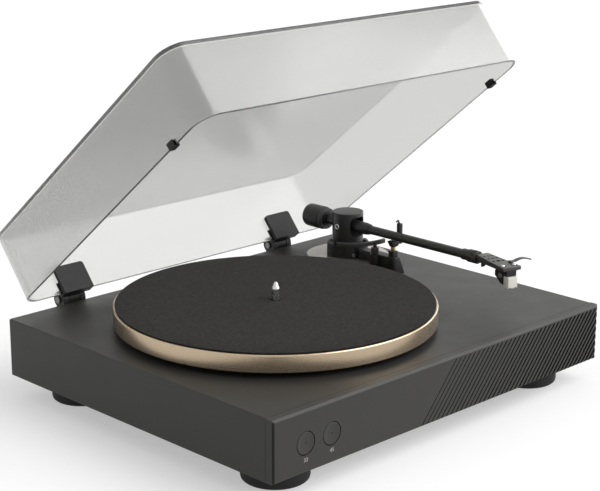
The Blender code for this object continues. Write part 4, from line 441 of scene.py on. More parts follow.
def grain_group():
    """Fine grain: small noise for height, broad slow noise that mottles colour and roughness, and a tint on the
    edges, paler by default as a painted highlight.
    """
    group, given, out = start_group(
        "fine grain", {"Vector": VECTOR, "Colour": COLOUR, "Size": FLOAT, "Mottle": FLOAT, "Roughness": FLOAT,
                       "Worn colour": COLOUR, "Wear": FLOAT}, {"Colour": COLOUR, "Roughness": FLOAT, "Height": FLOAT})
    fine = noise(group, given["Vector"], calc(group, "DIVIDE", 1.0, given["Size"]), 2.0, Roughness=0.6)
    swing = remap(group, noise(group, given["Vector"], 35.0, 5.0, Roughness=0.55), 0.3, 0.7, -1.0, 1.0)
    tinted = scaled(group, given["Colour"], calc(group, "MULTIPLY_ADD", swing, given["Mottle"], 1.0))
    broken = remap(group, noise(group, given["Vector"], 220.0, 3.0), 0.35, 0.7)
    # Edge tint, broken up along edges and chamfers; where it is paler it is a painted highlight
    worn = calc(group, "MULTIPLY", attribute(group, "edge"), broken)
    amount = calc(group, "MULTIPLY", worn, given["Wear"], clamp=True)
    wander = calc(group, "MULTIPLY_ADD", swing, 0.04, given["Roughness"])
    fill(group, out, {"Colour": blend(group, amount, tinted, given["Worn colour"]),
                      "Roughness": calc(group, "MULTIPLY_ADD", amount, -0.15, wander), "Height": fine})
    return group


def lathe_group():
    """Turning marks: noise read along the profile only, so that it runs round a turned piece as rings."""
    group, given, out = start_group("turning marks", {"Pitch": FLOAT, "Roughness": FLOAT, "Spread": FLOAT},
                                    {"Height": FLOAT, "Roughness": FLOAT, "Lightness": FLOAT})
    fine = add(group, "TexNoise", {"W": attribute(group, "along"), "Detail": 3.0,
                                   "Scale": calc(group, "DIVIDE", 1.0, given["Pitch"])},
               noise_dimensions="1D")["Fac"]
    swing = remap(group, fine, 0.3, 0.7, -1.0, 1.0)
    fill(group, out, {"Height": fine, "Lightness": calc(group, "MULTIPLY_ADD", swing, 0.05, 1.0),
                      "Roughness": calc(group, "MULTIPLY_ADD", swing, given["Spread"], given["Roughness"])})
    return group


def fibre_group():
    """Pressed fibres: three crossed stretched noises and a fine one, for height and for lighter flecks."""
    group, given, out = start_group("pressed fibres", {"Vector": VECTOR, "Dark": COLOUR, "Light": COLOUR},
                                    {"Colour": COLOUR, "Height": FLOAT})
    per_metre, total = 2600.0, None
    for angle, stretch in ((0.4, 6.0), (1.9, 5.0), (2.8, 7.0)):
        place = add(group, "Mapping", {"Vector": given["Vector"], "Rotation": (0.0, 0.0, angle),
                                       "Scale": (per_metre, per_metre / stretch, per_metre)})[0]
        strand = noise(group, place, 1.0, 3.0, Roughness=0.65, Distortion=0.6)
        total = strand if total is None else calc(group, "MAXIMUM", total, strand)
    mixed = calc(group, "MULTIPLY_ADD", noise(group, given["Vector"], 380.0, 4.0), 0.9, total)
    fleck = remap(group, mixed, 0.90, 1.22)
    fill(group, out, {"Colour": blend(group, fleck, given["Dark"], given["Light"]), "Height": total})
    return group


def ticks_group():
    """Dial marks: the angle about Z, times a count, gives a mark where its fraction is small."""
    group, given, out = start_group("dial marks", {"Vector": VECTOR, "Count": FLOAT, "Width": FLOAT, "Inner": FLOAT,
                                                   "Outer": FLOAT}, {"Mask": FLOAT})
    x, y, _ = add(group, "SeparateXYZ", {0: given["Vector"]})
    turns = calc(group, "DIVIDE", calc(group, "ARCTAN2", y, x), math.tau)
    part = calc(group, "FRACT", calc(group, "MULTIPLY", turns, given["Count"]))
    flat = add(group, "CombineXYZ", {0: x, 1: y})[0]
    radius = add(group, "VectorMath", {0: flat}, operation="LENGTH")["Value"]
    band = calc(group, "MULTIPLY", calc(group, "GREATER_THAN", radius, given["Inner"]),
                calc(group, "LESS_THAN", radius, given["Outer"]))
    fill(group, out, {"Mask": calc(group, "MULTIPLY", band, calc(group, "LESS_THAN", part, given["Width"]))})
    return group


def use(tree, maker, inputs):
    """Place a shared node group in a material, building it the first time."""
    if maker not in GROUPS:
        GROUPS[maker] = maker()
    return add(tree, "Group", inputs, node_tree=GROUPS[maker])


def start_material(name, colour):
    """Start a material and hand back its tree, its shader and the piece's own coordinates."""
    material = bpy.data.materials.new(name)
    material.use_nodes = True
    material.diffuse_color = (*colour, 1.0)
    tree = material.node_tree
    place = tree.nodes.new("ShaderNodeTexCoord").outputs["Object"]
    return material, tree, tree.nodes["Principled BSDF"], place


def bump(tree, height, strength, distance):
    """Turn a height into a normal."""
    return add(tree, "Bump", {"Height": height, "Strength": strength, "Distance": distance})[0]


def coated(name, colour, roughness, size, depth, mottle=0.05, wear=0.25, metallic=0.0, specular=0.5, worn=None):
    """Make a painted, moulded or rubber finish with fine grain, and edges tinted paler as a painted highlight, or
    tinted to a given colour.
    """
    material, tree, shader, place = start_material(name, colour)
    # Unless another colour is given, the edges go paler: a painted highlight on edges and chamfers
    worn = worn or tuple(min(1.0, 2.2 * value + 0.02) for value in colour)
    grain = use(tree, grain_group, {"Vector": place, "Colour": (*colour, 1.0), "Size": size, "Mottle": mottle,
                                    "Roughness": roughness, "Worn colour": (*worn, 1.0), "Wear": wear})
    fill(tree, shader, {"Base Color": grain["Colour"], "Roughness": grain["Roughness"], "Metallic": metallic,
                        "Specular IOR Level": specular, "Normal": bump(tree, grain["Height"], 0.6, depth)})
    return material


def ribbed(name, colour, *values):
    """Make the paint of the ribbed front: plain paint, with its grooves painted near-black and duller as painted
    shade.
    """
    material = coated(name, colour, *values)
    tree = material.node_tree
    shader = tree.nodes["Principled BSDF"]
    x, y, z = add(tree, "SeparateXYZ", {0: tree.nodes["Texture Coordinate"].outputs["Object"]})
    face, side, top = [float(value) / MM for value in (low("front_panel")[1], high("front_panel")[0], TOP)]
    chamfer, end, shallow, deep = 0.0022, 0.0004, 0.0001, 0.0009
    below = calc(tree, "LESS_THAN", z, top - chamfer)
    inside = calc(tree, "LESS_THAN", calc(tree, "ABSOLUTE", x), side - end)
    # groove is the mask of the painted shade, from the grooves' flanks down to their floors
    groove = calc(tree, "MULTIPLY", remap(tree, y, face + shallow, face + deep),
                  calc(tree, "MULTIPLY", below, inside))
    plain, dull = [shader.inputs[key].links[0].from_socket for key in ("Base Color", "Roughness")]
    # Painted shade: the grooves are painted near-black where shade falls in the recesses
    fill(tree, shader, {"Base Color": blend(tree, groove, plain, (0.003, 0.003, 0.003, 1.0)),
                        "Roughness": calc(tree, "MULTIPLY_ADD", groove, 0.4, dull)})
    return material


def metal(name, colour, roughness, pitch=0.0002, depth=0.00001, spread=0.06, smudges=0.08):
    """Make a metal finish with turning marks."""
    material, tree, shader, place = start_material(name, colour)
    marks = use(tree, lathe_group, {"Pitch": pitch, "Roughness": roughness, "Spread": spread})
    dull = remap(tree, noise(tree, place, 45.0, 5.0), 0.4, 0.75, 0.0, smudges)
    fill(tree, shader, {"Base Color": scaled(tree, colour, marks["Lightness"]), "Metallic": 1.0,
                        "Roughness": calc(tree, "ADD", marks["Roughness"], dull, clamp=True),
                        "Normal": bump(tree, marks["Height"], 0.5, depth)})
    return material


def felt(name, dark):
    """Make the felt of the mat: crossed fibres, with a faint sheen."""
    material, tree, shader, place = start_material(name, dark)
    light = tuple(bpy.context.scene.turntable_finish.mat_light)
    fibres = use(tree, fibre_group, {"Vector": place, "Dark": (*dark, 1.0), "Light": (*light, 1.0)})
    fill(tree, shader, {"Base Color": fibres["Colour"], "Roughness": 0.95, "Specular IOR Level": 0.08,
                        "Sheen Weight": 0.06, "Sheen Roughness": 0.5,
                        "Normal": bump(tree, fibres["Height"], 0.8, 0.0002)})
    return material


def dial(name, colour, mark, at, count, inner, outer):
    """Make a dial's finish: a plain coat with radial marks about the dial's axis."""
    material, tree, shader, place = start_material(name, colour)
    # The piece's points are brought back to the dial's own axes, so the turn is needed as angles about X, Y and Z
    inverse = np.linalg.inv(at)
    pitch = math.asin(max(-1.0, min(1.0, -inverse[2, 0])))
    angles = (math.atan2(inverse[2, 1], inverse[2, 2]), pitch, math.atan2(inverse[1, 0], inverse[0, 0]))
    own = add(tree, "Mapping", {"Vector": place, "Location": tuple(inverse[:3, 3] / MM), "Rotation": angles})[0]
    marks = use(tree, ticks_group, {"Vector": own, "Count": count, "Width": 0.2, "Inner": inner, "Outer": outer})
    grain = use(tree, grain_group, {"Vector": place, "Colour": (*colour, 1.0), "Size": 0.0002, "Mottle": 0.05,
                                    "Roughness": 0.4, "Worn colour": (*colour, 1.0), "Wear": 0.0})
    fill(tree, shader, {"Base Color": blend(tree, marks["Mask"], grain["Colour"], (*mark, 1.0)),
                        "Roughness": grain["Roughness"], "Normal": bump(tree, grain["Height"], 0.5, 0.00001)})
    return material


def clear_sheet(name, tint):
    """Make the smoked clear sheet: it bends and mirrors like acrylic, has faint smears, and lets lamps through."""
    material, tree, shader, place = start_material(name, tint)
    rim_share, shadow_share = 0.55, 0.85
    smear = noise(tree, place, 9.0, 2.0, Distortion=0.8)
    rim = (*[rim_share * value for value in tint], 1.0)
    shadow = tree.nodes.new("ShaderNodeLightPath").outputs["Is Shadow Ray"]
    fill(tree, shader, {"Base Color": blend(tree, attribute(tree, "edge"), (*tint, 1.0), rim),
                        "Roughness": remap(tree, smear, 0.35, 0.75, 0.20, 0.22), "IOR": 1.49,
                        "Alpha": calc(tree, "MULTIPLY_ADD", shadow, -shadow_share, 1.0), "Transmission Weight": 1.0})
    return material


# What coated() takes from the roughness on, the same for both paints
SATIN = (0.42, 0.00045, 0.000012, 0.03, 0.15, 0.0, 0.3)

# Each row is a maker, a colour or the name of one in the settings, and what else the maker takes, in its order
FINISHES = {
    "satin paint": (coated, "paint", *SATIN),
    "ribbed paint": (ribbed, "paint", *SATIN),
    "black plastic": (coated, "plastic", 0.48, 0.00035, 0.00003, 0.05, 0.25, 0.0, 0.3),
    "rubber": (coated, "rubber", 0.7, 0.0004, 0.00004, 0.08, 0.1, 0.0, 0.35),
    "arm black": (coated, "arm", 0.38, 0.0002, 0.000008, 0.04, 0.3, 0.1),
    "housing black": (coated, "arm", 0.34, 0.0002, 0.000006, 0.03, 0.3, 0.1),
    "shell black": (coated, (0.045, 0.044, 0.042), 0.36, 0.0002, 0.000005, 0.03, 0.35, 0.1),
    # Darker than the arm's satin black of the same slot: painted shade on the casting under the arm
    "casting black": (coated, (0.013, 0.013, 0.0128), 0.42, 0.0003, 0.00001, 0.04, 0.2, 0.0, 0.3),
    "plate grey": (coated, "plate", 0.2, 0.0003, 0.000004, 0.02, 0.1, 0.6),
    # The stylus cap's edges are tinted warmer and darker
    "white cap": (coated, "cap", 0.28, 0.0003, 0.000004, 0.02, 0.6, 0.0, 0.5, (0.62, 0.56, 0.44)),
    "board": (coated, (0.02, 0.12, 0.05), 0.4, 0.0006, 0.00002, 0.15),
    "numerals": (coated, (0.42, 0.41, 0.39), 0.5, 0.0002, 0.000002),
    "rim metal": (metal, "rim", 0.27, 0.00018, 0.0000005, 0.008, 0.015),
    "steel": (metal, (0.62, 0.62, 0.61), 0.22),
    "dark steel": (metal, (0.16, 0.158, 0.15), 0.3),
    "brass": (metal, (0.72, 0.52, 0.24), 0.26),
    "socket gold": (metal, (0.80, 0.60, 0.28), 0.22),
    "felt": (felt, "mat_dark"),
    "clear sheet": (clear_sheet, "cover"),
    "dial": (dial, (0.05, 0.05, 0.049), (0.20, 0.20, 0.19), BACKWARD, 40.0, 0.0098, 0.0106),
    "knob": (dial, "arm", (0.5, 0.5, 0.48), KNOB, 10.0, 0.0028, 0.0038),
}


def finish(name):
    """Give a shared finish, making it the first time it is asked for."""
    if name not in MATERIALS:
        maker, colour, *values = FINISHES[name]
        if isinstance(colour, str):
            colour = tuple(getattr(bpy.context.scene.turntable_finish, colour))
        MATERIALS[name] = maker(name, colour, *values)
    return MATERIALS[name]


# What a user may change

def colour_setting(name, description, value):
    """Declare a colour."""
    return bpy.props.FloatVectorProperty(name=name, description=description, subtype="COLOR", default=value, min=0.0,
                                         max=1.0)


def length_setting(name, description, value, least, most):
    """Declare a length."""
    return bpy.props.FloatProperty(name=name, description=description, default=value, min=least, max=most,
                                   unit="LENGTH")


def level_setting(name, description, value, most):
    """Declare a strength of light."""
    return bpy.props.FloatProperty(name=name, description=description, default=value, min=0.0, max=most)


class TurntableFinish(bpy.types.PropertyGroup):
    """Colours of the turntable's finishes, as linear light."""

    paint: colour_setting("Paint", "Dark satin paint of the plinth and front", (0.0295, 0.0287, 0.0265))
    rim: colour_setting("Platter rim", "Champagne metal of the platter", (0.485, 0.385, 0.27))
    mat_dark: colour_setting("Mat", "Felt between its fibres", (0.0125, 0.0117, 0.0106))
    mat_light: colour_setting("Mat fibres", "Raised fibres of the felt", (0.029, 0.0272, 0.0248))
    rubber: colour_setting("Rubber", "Feet, belt and bumpers", (0.009, 0.009, 0.009))
    plastic: colour_setting("Black plastic", "Hinges, terminals and cartridge", (0.018, 0.018, 0.018))
    arm: colour_setting("Arm black", "Satin black metal of the tonearm", (0.025, 0.0248, 0.024))
    plate: colour_setting("Arm plate", "Round plate under the tonearm", (0.43, 0.405, 0.365))
    cap: colour_setting("Stylus cap", "Pale plastic of the stylus unit", (0.76, 0.745, 0.69))
    cover: colour_setting("Cover tint", "Smoke tint of the dust cover", (0.66, 0.66, 0.65))


class TurntableSizes(bpy.types.PropertyGroup):
    """Sizes of the fine detail that the frame leaves out."""

    cover_edge: length_setting("Cover edges", "Rounding where the cover's walls meet its top", 0.0018, 0.0003, 0.004)
    mat_fuzz: length_setting("Mat edge", "How far the felt's cut edge wanders", 0.00025, 0.0, 0.001)
    grip_depth: length_setting("Grip depth", "Depth of the fine ridges on turned knobs", 0.0002, 0.0, 0.0005)
    numeral_height: length_setting("Numerals", "Height of the speed numerals", 0.0034, 0.001, 0.01)


class TurntableStage(bpy.types.PropertyGroup):
    """Floor, lamps and surroundings."""

    floor: colour_setting("Floor", "Colour of the floor", (0.6, 0.6, 0.6))
    glow: level_setting("Floor glow", "Added to the floor's own light where it is seen", 0.42, 1.0)
    sky: level_setting("Surroundings", "Strength of the even light from all round", 0.55, 2.0)
    key: level_setting("Key lamp", "Strength of the broad lamp at the front right", 2.5, 20.0)


# Pieces

class TURNTABLE_OT_plinth(bpy.types.Operator):
    """Finish the plinth, its front panel and the sheet below it"""

    bl_idname = "turntable.plinth"
    bl_label = "Plinth and front"

    def execute(self, context):
        paint("satin paint", "plinth")
        paint("ribbed paint", "front_panel")
        soften(0.12, "front_panel")
        paint("black plastic", "bottom_cover")
        return {"FINISHED"}


class TURNTABLE_OT_feet(bpy.types.Operator):
    """Turn the four rubber feet"""

    bl_idname = "turntable.feet"
    bl_label = "Feet"

    def execute(self, context):
        for node in ("foot_front_left", "foot_front_right", "foot_rear_left", "foot_rear_right"):
            top, radius = high(node)[2], half_width(node)
            profile = [(0, top), (radius - 1.2, top), (radius - 0.4, top - 1.2), (radius, 4), (radius - 0.6, 1.6),
                       (radius - 2.4, 0), (radius - 6.2, 0), (radius - 7, 0.8), (0, 0.8)]
            lathe(node + "_turned", profile, upright(node), 128, 0.6, "rubber", "base", "foot_rubber", node)
        return {"FINISHED"}


class TURNTABLE_OT_platter(bpy.types.Operator):
    """Turn the platter and its spindle"""

    bl_idname = "turntable.platter"
    bl_label = "Platter and spindle"

    def execute(self, context):
        radius, top = half_width("platter"), high("platter")[2]
        web, flange, bottom, ring = top - 5, high("bearing_housing")[2] + 0.3, TOP + 5.3, TOP + 3.5
        profile = [(radius - 0.9, top), (radius, top - 0.9), (radius, bottom + 0.4), (radius - 0.4, bottom),
                   (radius - 8, bottom), (radius - 8, web), (75, web), (75, ring), (71, ring), (71, web), (14, web),
                   (14, flange), (4.3, flange), (4.3, top)]
        at = upright("platter")
        lathe("platter_turned", profile, at, 256, 0.3, "rim metal", "platter", "gold_rim", "platter", loop=True)
        tip, foot = high("platter_spindle")[2], low("platter_spindle")[2]
        profile = [(0, tip), (1.2, tip), (3.6, tip - 6), (3.6, top + 0.4), (4, top - 0.4), (4, foot + 2), (2, foot),
                   (0, foot)]
        lathe("spindle_turned", profile, at, 64, 0.5, "steel", "platter", "steel", "platter_spindle")
        return {"FINISHED"}


class TURNTABLE_OT_mat(bpy.types.Operator):
    """Make the felt mat, with a softly wandering cut edge"""

    bl_idname = "turntable.mat"
    bl_label = "Slip mat"

    def execute(self, context):
        columns, radius, bottom, top = 720, half_width("slip_mat"), low("slip_mat")[2], high("slip_mat")[2]
        rows = rounded([(radius, top), (radius, bottom), (4.5, bottom), (4.5, top), (20, top), (70, top), (120, top)],
                       0.6, loop=True)
        angle = np.linspace(0.0, math.tau, columns, endpoint=False)
        # The cut edge wanders inwards by a sum of sines whose whole numbers of waves close the loop
        waves = sum(np.sin(count * angle + phase) / weight for count, phase, weight in
                    ((31, 0.3, 1.6), (53, 1.9, 2.2), (97, 4.0, 3.0), (151, 2.2, 4.0), (211, 5.1, 5.0)))
        fuzz = MM * context.scene.turntable_sizes.mat_fuzz
        inward = fuzz * (waves.max() - waves) / np.ptp(waves)
        reach = rows[:, :1] - np.where(rows[:, :1] > radius - 2, inward, 0.0)
        rings = np.stack([reach * np.cos(angle), reach * np.sin(angle), np.repeat(rows[:, 1:2], columns, 1)], -1)
        dress(skin("slip_mat_felt", rings, upright("slip_mat"), closed=True), "felt", "platter", "felt", "slip_mat")
        return {"FINISHED"}


class TURNTABLE_OT_drive(bpy.types.Operator):
    """Finish the bearing, motor, pulley, belt and circuit boards"""

    bl_idname = "turntable.drive"
    bl_label = "Drive and boards"

    def execute(self, context):
        paint("brass", "bearing_housing", "motor_pulley")
        paint("rubber", "motor_mount", "drive_belt")
        paint("steel", "motor")
        paint("board", "circuit_board", "switch_board")
        return {"FINISHED"}


class TURNTABLE_OT_buttons(bpy.types.Operator):
    """Turn the two speed buttons and set their numerals below them"""

    bl_idname = "turntable.buttons"
    bl_label = "Speed buttons"

    def execute(self, context):
        face, numeral_level = low("front_panel")[1], TOP - PLINTH_HEIGHT + 11.7
        profile = [(0, -1.1), (0.9, -1.1), (0.9, -0.6), (5.2, -0.6), (9.4, 0), (9.8, -0.4), (9.8, -9.3), (11.6, -9.3),
                   (11.6, -10.8), (3, -10.8), (3, -14.8), (0, -14.8)]
        for label in ("33", "45"):
            node = "button_" + label
            x, _, z = middle(node)
            lathe(node + "_turned", profile, shift(x, face, z) @ FACING_FRONT, 96, 0.2, "satin paint", node,
                  "front_paint", node)
            numeral = self.numeral(label, context.scene.turntable_sizes.numeral_height,
                                   shift(x, face, numeral_level) @ FACING_FRONT)
            dress(numeral, "numerals", "base", "front_paint")
        return {"FINISHED"}

    def numeral(self, label, height, at):
        """Make a numeral from the plain font, centred and slightly proud of the panel."""
        cap_share, proud = 0.7, 0.00005
        curve = bpy.data.curves.new("numeral_" + label, "FONT")
        curve.body = label
        curve.size = height / cap_share
        curve.align_x = curve.align_y = "CENTER"
        curve.extrude = proud
        holder = put("numeral_" + label, curve)
        mesh = evaluated(holder)
        bpy.data.objects.remove(holder)
        points = np.empty(3 * len(mesh.vertices))
        mesh.vertices.foreach_get("co", points)
        points = points.reshape(-1, 3) @ at[:3, :3].T + at[:3, 3] / MM
        mesh.vertices.foreach_set("co", points.ravel())
        return settle("numeral_" + label, mesh)


class TURNTABLE_OT_terminals(bpy.types.Operator):
    """Finish the rear plate, its sockets, the ground screw and the inlet"""

    bl_idname = "turntable.terminals"
    bl_label = "Terminals"

    def execute(self, context):
        paint("black plastic", "terminal_panel", "power_inlet")
        soften(0.2, "terminal_panel", "power_inlet")
        face, depth = high("terminal_panel")[1], MM * context.scene.turntable_sizes.grip_depth
        sockets = [(0, 0), (1.6, 0), (1.6, 9), (2.9, 9), (3.2, 8.2), (4, 8.2), (4.2, 7.8), (4.2, 1.2), (4.2, -2.3),
                   (6, -2.3), (6, -10.3), (0, -10.3)]
        screw = [(0, 5.8), (2.4, 5.8), (2.6, 6.3), (4.4, 6.3), (5, 5.7), (5, 5.5, depth), (5, 1.2, depth), (5, 1),
                 (4.6, 0.3), (2, 0.3), (2, -10), (0, -10)]
        for node, profile, columns, soft, ridges, look, slot in (
                ("signal_socket_left", sockets, 64, 0.2, 0, "socket gold", "brass"),
                ("signal_socket_right", sockets, 64, 0.2, 0, "socket gold", "brass"),
                ("ground_screw", screw, 288, 0.1, 36, "steel", "steel")):
            x, _, z = middle(node)
            lathe(node + "_turned", profile, shift(x, face, z) @ FACING_REAR, columns, soft, look, "base", slot,
                  node, ridges=ridges)
        return {"FINISHED"}


class TURNTABLE_OT_cover(bpy.types.Operator):
    """Make the smoked clear cover and its bumpers"""

    bl_idname = "turntable.cover"
    bl_label = "Dust cover"

    def execute(self, context):
        wall, height, corner, inner_corner, lap = 3.0, 69.0, 21.3, 2.0, 12.0
        half_x, half_y, rear, rim = 204.25, 171.0, -13.2, -0.4
        edge = MM * context.scene.turntable_sizes.cover_edge
        quarter = np.linspace(0.0, math.pi / 2, 6)
        # Each row is (how far in from the outer outline, height above the rim, share of an edge)
        rows = [(wall + lap, height - wall, 0), (wall + edge, height - wall, 0)]
        rows += [(wall + edge * (1 - math.sin(q)), height - wall - edge * (1 - math.cos(q)), 0) for q in quarter[1:]]
        rows += [(wall, 0.6, 0), (wall, 0.3, 1), (wall - 0.3, 0, 1), (0.3, 0, 1), (0, 0.3, 1), (0, 0.6, 0)]
        rows += [(edge * (1 - math.cos(q)), height - edge * (1 - math.sin(q)), 0) for q in quarter]
        rows += [(edge + lap, height, 0)]
        rings = [raised(outline(half_x - inset, half_y - inset, max(corner - inset, inner_corner), 16), level)
                 for inset, level, _ in rows]
        cover = skin("dust_cover_sheet", rings, COVER @ shift(0.0, rear - half_y, rim), edge=[row[2] for row in rows],
                     crease=50.0)
        dress(cover, "clear sheet", "cover", "clear_cover", "dust_cover")
        paint("rubber", "cover_bumper_left", "cover_bumper_right")
        soften(0.9, "cover_bumper_left", "cover_bumper_right", segments=3)
        return {"FINISHED"}


class TURNTABLE_OT_hinges(bpy.types.Operator):
    """Finish the two hinges"""

    bl_idname = "turntable.hinges"
    bl_label = "Hinges"

    def execute(self, context):
        profile = [(0, 14), (1.7, 14), (2, 13.7), (2, -13.3), (3.4, -13.3), (3.4, -14.7), (3, -14.9), (0, -14.9)]
        for side in ("left", "right"):
            base, clip, pin = ["hinge_%s_%s" % (part, side) for part in ("base", "clip", "pin")]
            paint("black plastic", base, clip)
            soften(0.4, base, clip)
            at = shift(middle(base)[0], HINGE[1], HINGE[2]) @ FACING_RIGHT
            lathe(pin + "_turned", profile, at, 48, 0.2, "dark steel", "base", "steel", pin)
        return {"FINISHED"}


class TURNTABLE_OT_arm_base(bpy.types.Operator):
    """Make the round plate and the black casting that stands on it"""

    bl_idname = "turntable.arm_base"
    bl_label = "Arm base"

    def execute(self, context):
        lathe("arm_plate_turned", [(43, 6.9), (43, 0.3), (9.7, 0.3), (9.7, 7.5), (42.4, 7.5)], DECK, 192, 0.4,
              "plate grey", "base", "grey_plate", "arm_base_plate", loop=True)
        drum = turned("arm_drum", [(21.5, 20.4), (21.5, 7.8), (9.4, 7.8), (9.4, -14), (5.3, -14), (5.3, 18.3),
                                   (19.5, 18.3), (19.5, 20.4)], DECK, 128, 0.4, loop=True)

        def lean(points):
            """Lean the foot's right side outwards as it nears the deck."""
            share = np.clip((17.8 - points[..., 2]) / 17.5, 0.0, 1.0)
            points[..., 0] += np.where(points[..., 0] > -2, 7 * share, 0.0)
            return points

        beam = slab("beam", (-7.5, -72, 7.8), (3.5, -20, 18.1), DECK, 3.2, 0.5)
        foot = slab("foot", (-7.8, -72.3, 0.3), (3.8, -45.5, 17.8), DECK, 3.4, 0.4, shape=lean)
        boss = rod(5.5, 7.8, 18.3, LIFT, 64, 0.3)
        box = slab("box", (-4.5, -68.7, 9), (2.5, -61.7, 23.8), DECK, 0.6, 0.3)
        fuse(drum, [beam, foot, boss, box], "UNION")
        fuse(drum, [rod(2, 18.4, 26, REST), rod(1.8, -2.5, 5.5, LEVER @ FACING_RIGHT),
                    rod(1.8, 16.2, 23.5, KNOB)])
        drum.name = "arm_casting"
        # The casting's darker black is painted shade
        dress(drum, "casting black", "base", "satin_black", "arm_base")
        side = DECK @ turn(math.radians(-118.5), 2) @ shift(0.0, 0.0, 11.2) @ FACING_RIGHT
        profile = [(0, 21.9), (0.8, 21.9), (1.2, 22.3), (1.8, 22.1), (2.2, 21.6), (2.2, 21), (0, 21)]
        lathe("drum_screw", profile, side, 40, 0.2, "dark steel", "base", "steel",
              notch=((-2.4, -0.4, 21.7), (2.4, 0.4, 24)))
        return {"FINISHED"}


class TURNTABLE_OT_arm_housing(bpy.types.Operator):
    """Make the housing that swings with the arm, its window and its pivot screws"""

    bl_idname = "turntable.arm_housing"
    bl_label = "Arm housing"

    def execute(self, context):
        housing = turned("housing", [(0, 53.3), (15.8, 53.3), (16.2, 52.9), (16.2, 22), (14.6, 22), (14.6, 18.6),
                                     (5.3, 18.6), (5.3, 26.9), (0, 26.9)], DECK, 160, 0.2)
        window = slab("window", (-9.9, -30, -10.1), (9.9, 30, 10.1), ARM, 6, 0.1, axis=1)
        fuse(housing, [window, rod(3, -18.5, 18.5, ACROSS)])
        housing.name = "arm_housing_turned"
        dress(housing, "housing black", "arm_carrier", "satin_black", "arm_housing")
        paint("steel", "arm_pillar", "pivot_axle")
        profile = [(1.7, 15), (1.7, 16.4), (2, 16.7), (2.5, 16.7), (2.8, 16.3), (2.8, 9.9), (1.6, 9.9), (1.6, 8.4),
                   (0.9, 8.4), (0.9, 7), (0, 7), (0, 15)]
        for side, sign in (("left", -1), ("right", 1)):
            at = ARM @ turn(sign * math.pi / 2, 1)
            lathe("pivot_screw_%s_turned" % side, profile, at, 48, 0.1, "steel", "arm_carrier", "steel",
                  "pivot_screw_" + side)
            lathe("pivot_plug_" + side, [(0, 16), (1.6, 16), (1.6, 15.1), (0, 15.1)], at, 32, 0.1, "housing black",
                  "arm_carrier", "satin_black", notch=((-2, -0.35, 15.6), (2, 0.35, 17.5)))
        return {"FINISHED"}


class TURNTABLE_OT_arm_tube(bpy.types.Operator):
    """Make the root block, the straight tube and the ring that locks the headshell"""

    bl_idname = "turntable.arm_tube"
    bl_label = "Arm tube"

    def execute(self, context):
        collar = turned("collar", [(0, 17.7), (4.8, 17.7), (4.8, 32), (5.4, 32), (6.2, 27), (6.2, 3.5), (0, 3.5)],
                        FORWARD, 96, 0.6)
        fuse(collar, [slab("block", (-6.5, -7, -6.5), (6.5, 7, 6.5), ARM, 0.8, 0.5)], "UNION")
        fuse(collar, [rod(2.2, -13, 13, ACROSS)])
        collar.name = "pivot_block_turned"
        dress(collar, "arm black", "arm", "satin_black", "pivot_block")
        lathe("arm_tube_turned", [(4.5, 169.2), (4.5, 164), (5.5, 164), (5.5, 156.9), (4.5, 156.9), (4.5, 18),
                                  (3.7, 18), (3.7, 169.2)], FORWARD, 96, 0.3, "arm black", "arm", "satin_black",
              "arm_tube", loop=True)
        depth = MM * context.scene.turntable_sizes.grip_depth
        lathe("lock_ring_turned", [(5.8, 176.3), (6.4, 175.7), (6.4, 175.4, depth), (6.4, 170.9, depth), (6.4, 170.7),
                                   (5.8, 170.5), (5.8, 170.1), (6.4, 169.9), (6.4, 164.9), (5.8, 164.3),
                                   (4.8, 164.3), (4.8, 176.3)], FORWARD, 288, 0.1, "arm black", "lock_ring",
              "satin_black", "shell_lock_ring", loop=True, ridges=48)
        return {"FINISHED"}


def shell_half(reach):
    """Give half the headshell's width at a distance from its rear: it widens evenly."""
    return (SHELL_REAR + (SHELL_FRONT - SHELL_REAR) * reach / SHELL_LENGTH) / 2


def widened(margin, heights=lambda reach, z: z):
    """Make the shape that spreads a block 20 mm wide to the shell's width less a margin, and changes its heights."""
    def shape(points):
        x, y, z = np.moveaxis(points, -1, 0)
        return np.stack([x / 10 * (shell_half(-y) - margin), y, heights(-y, z)], -1)
    return shape


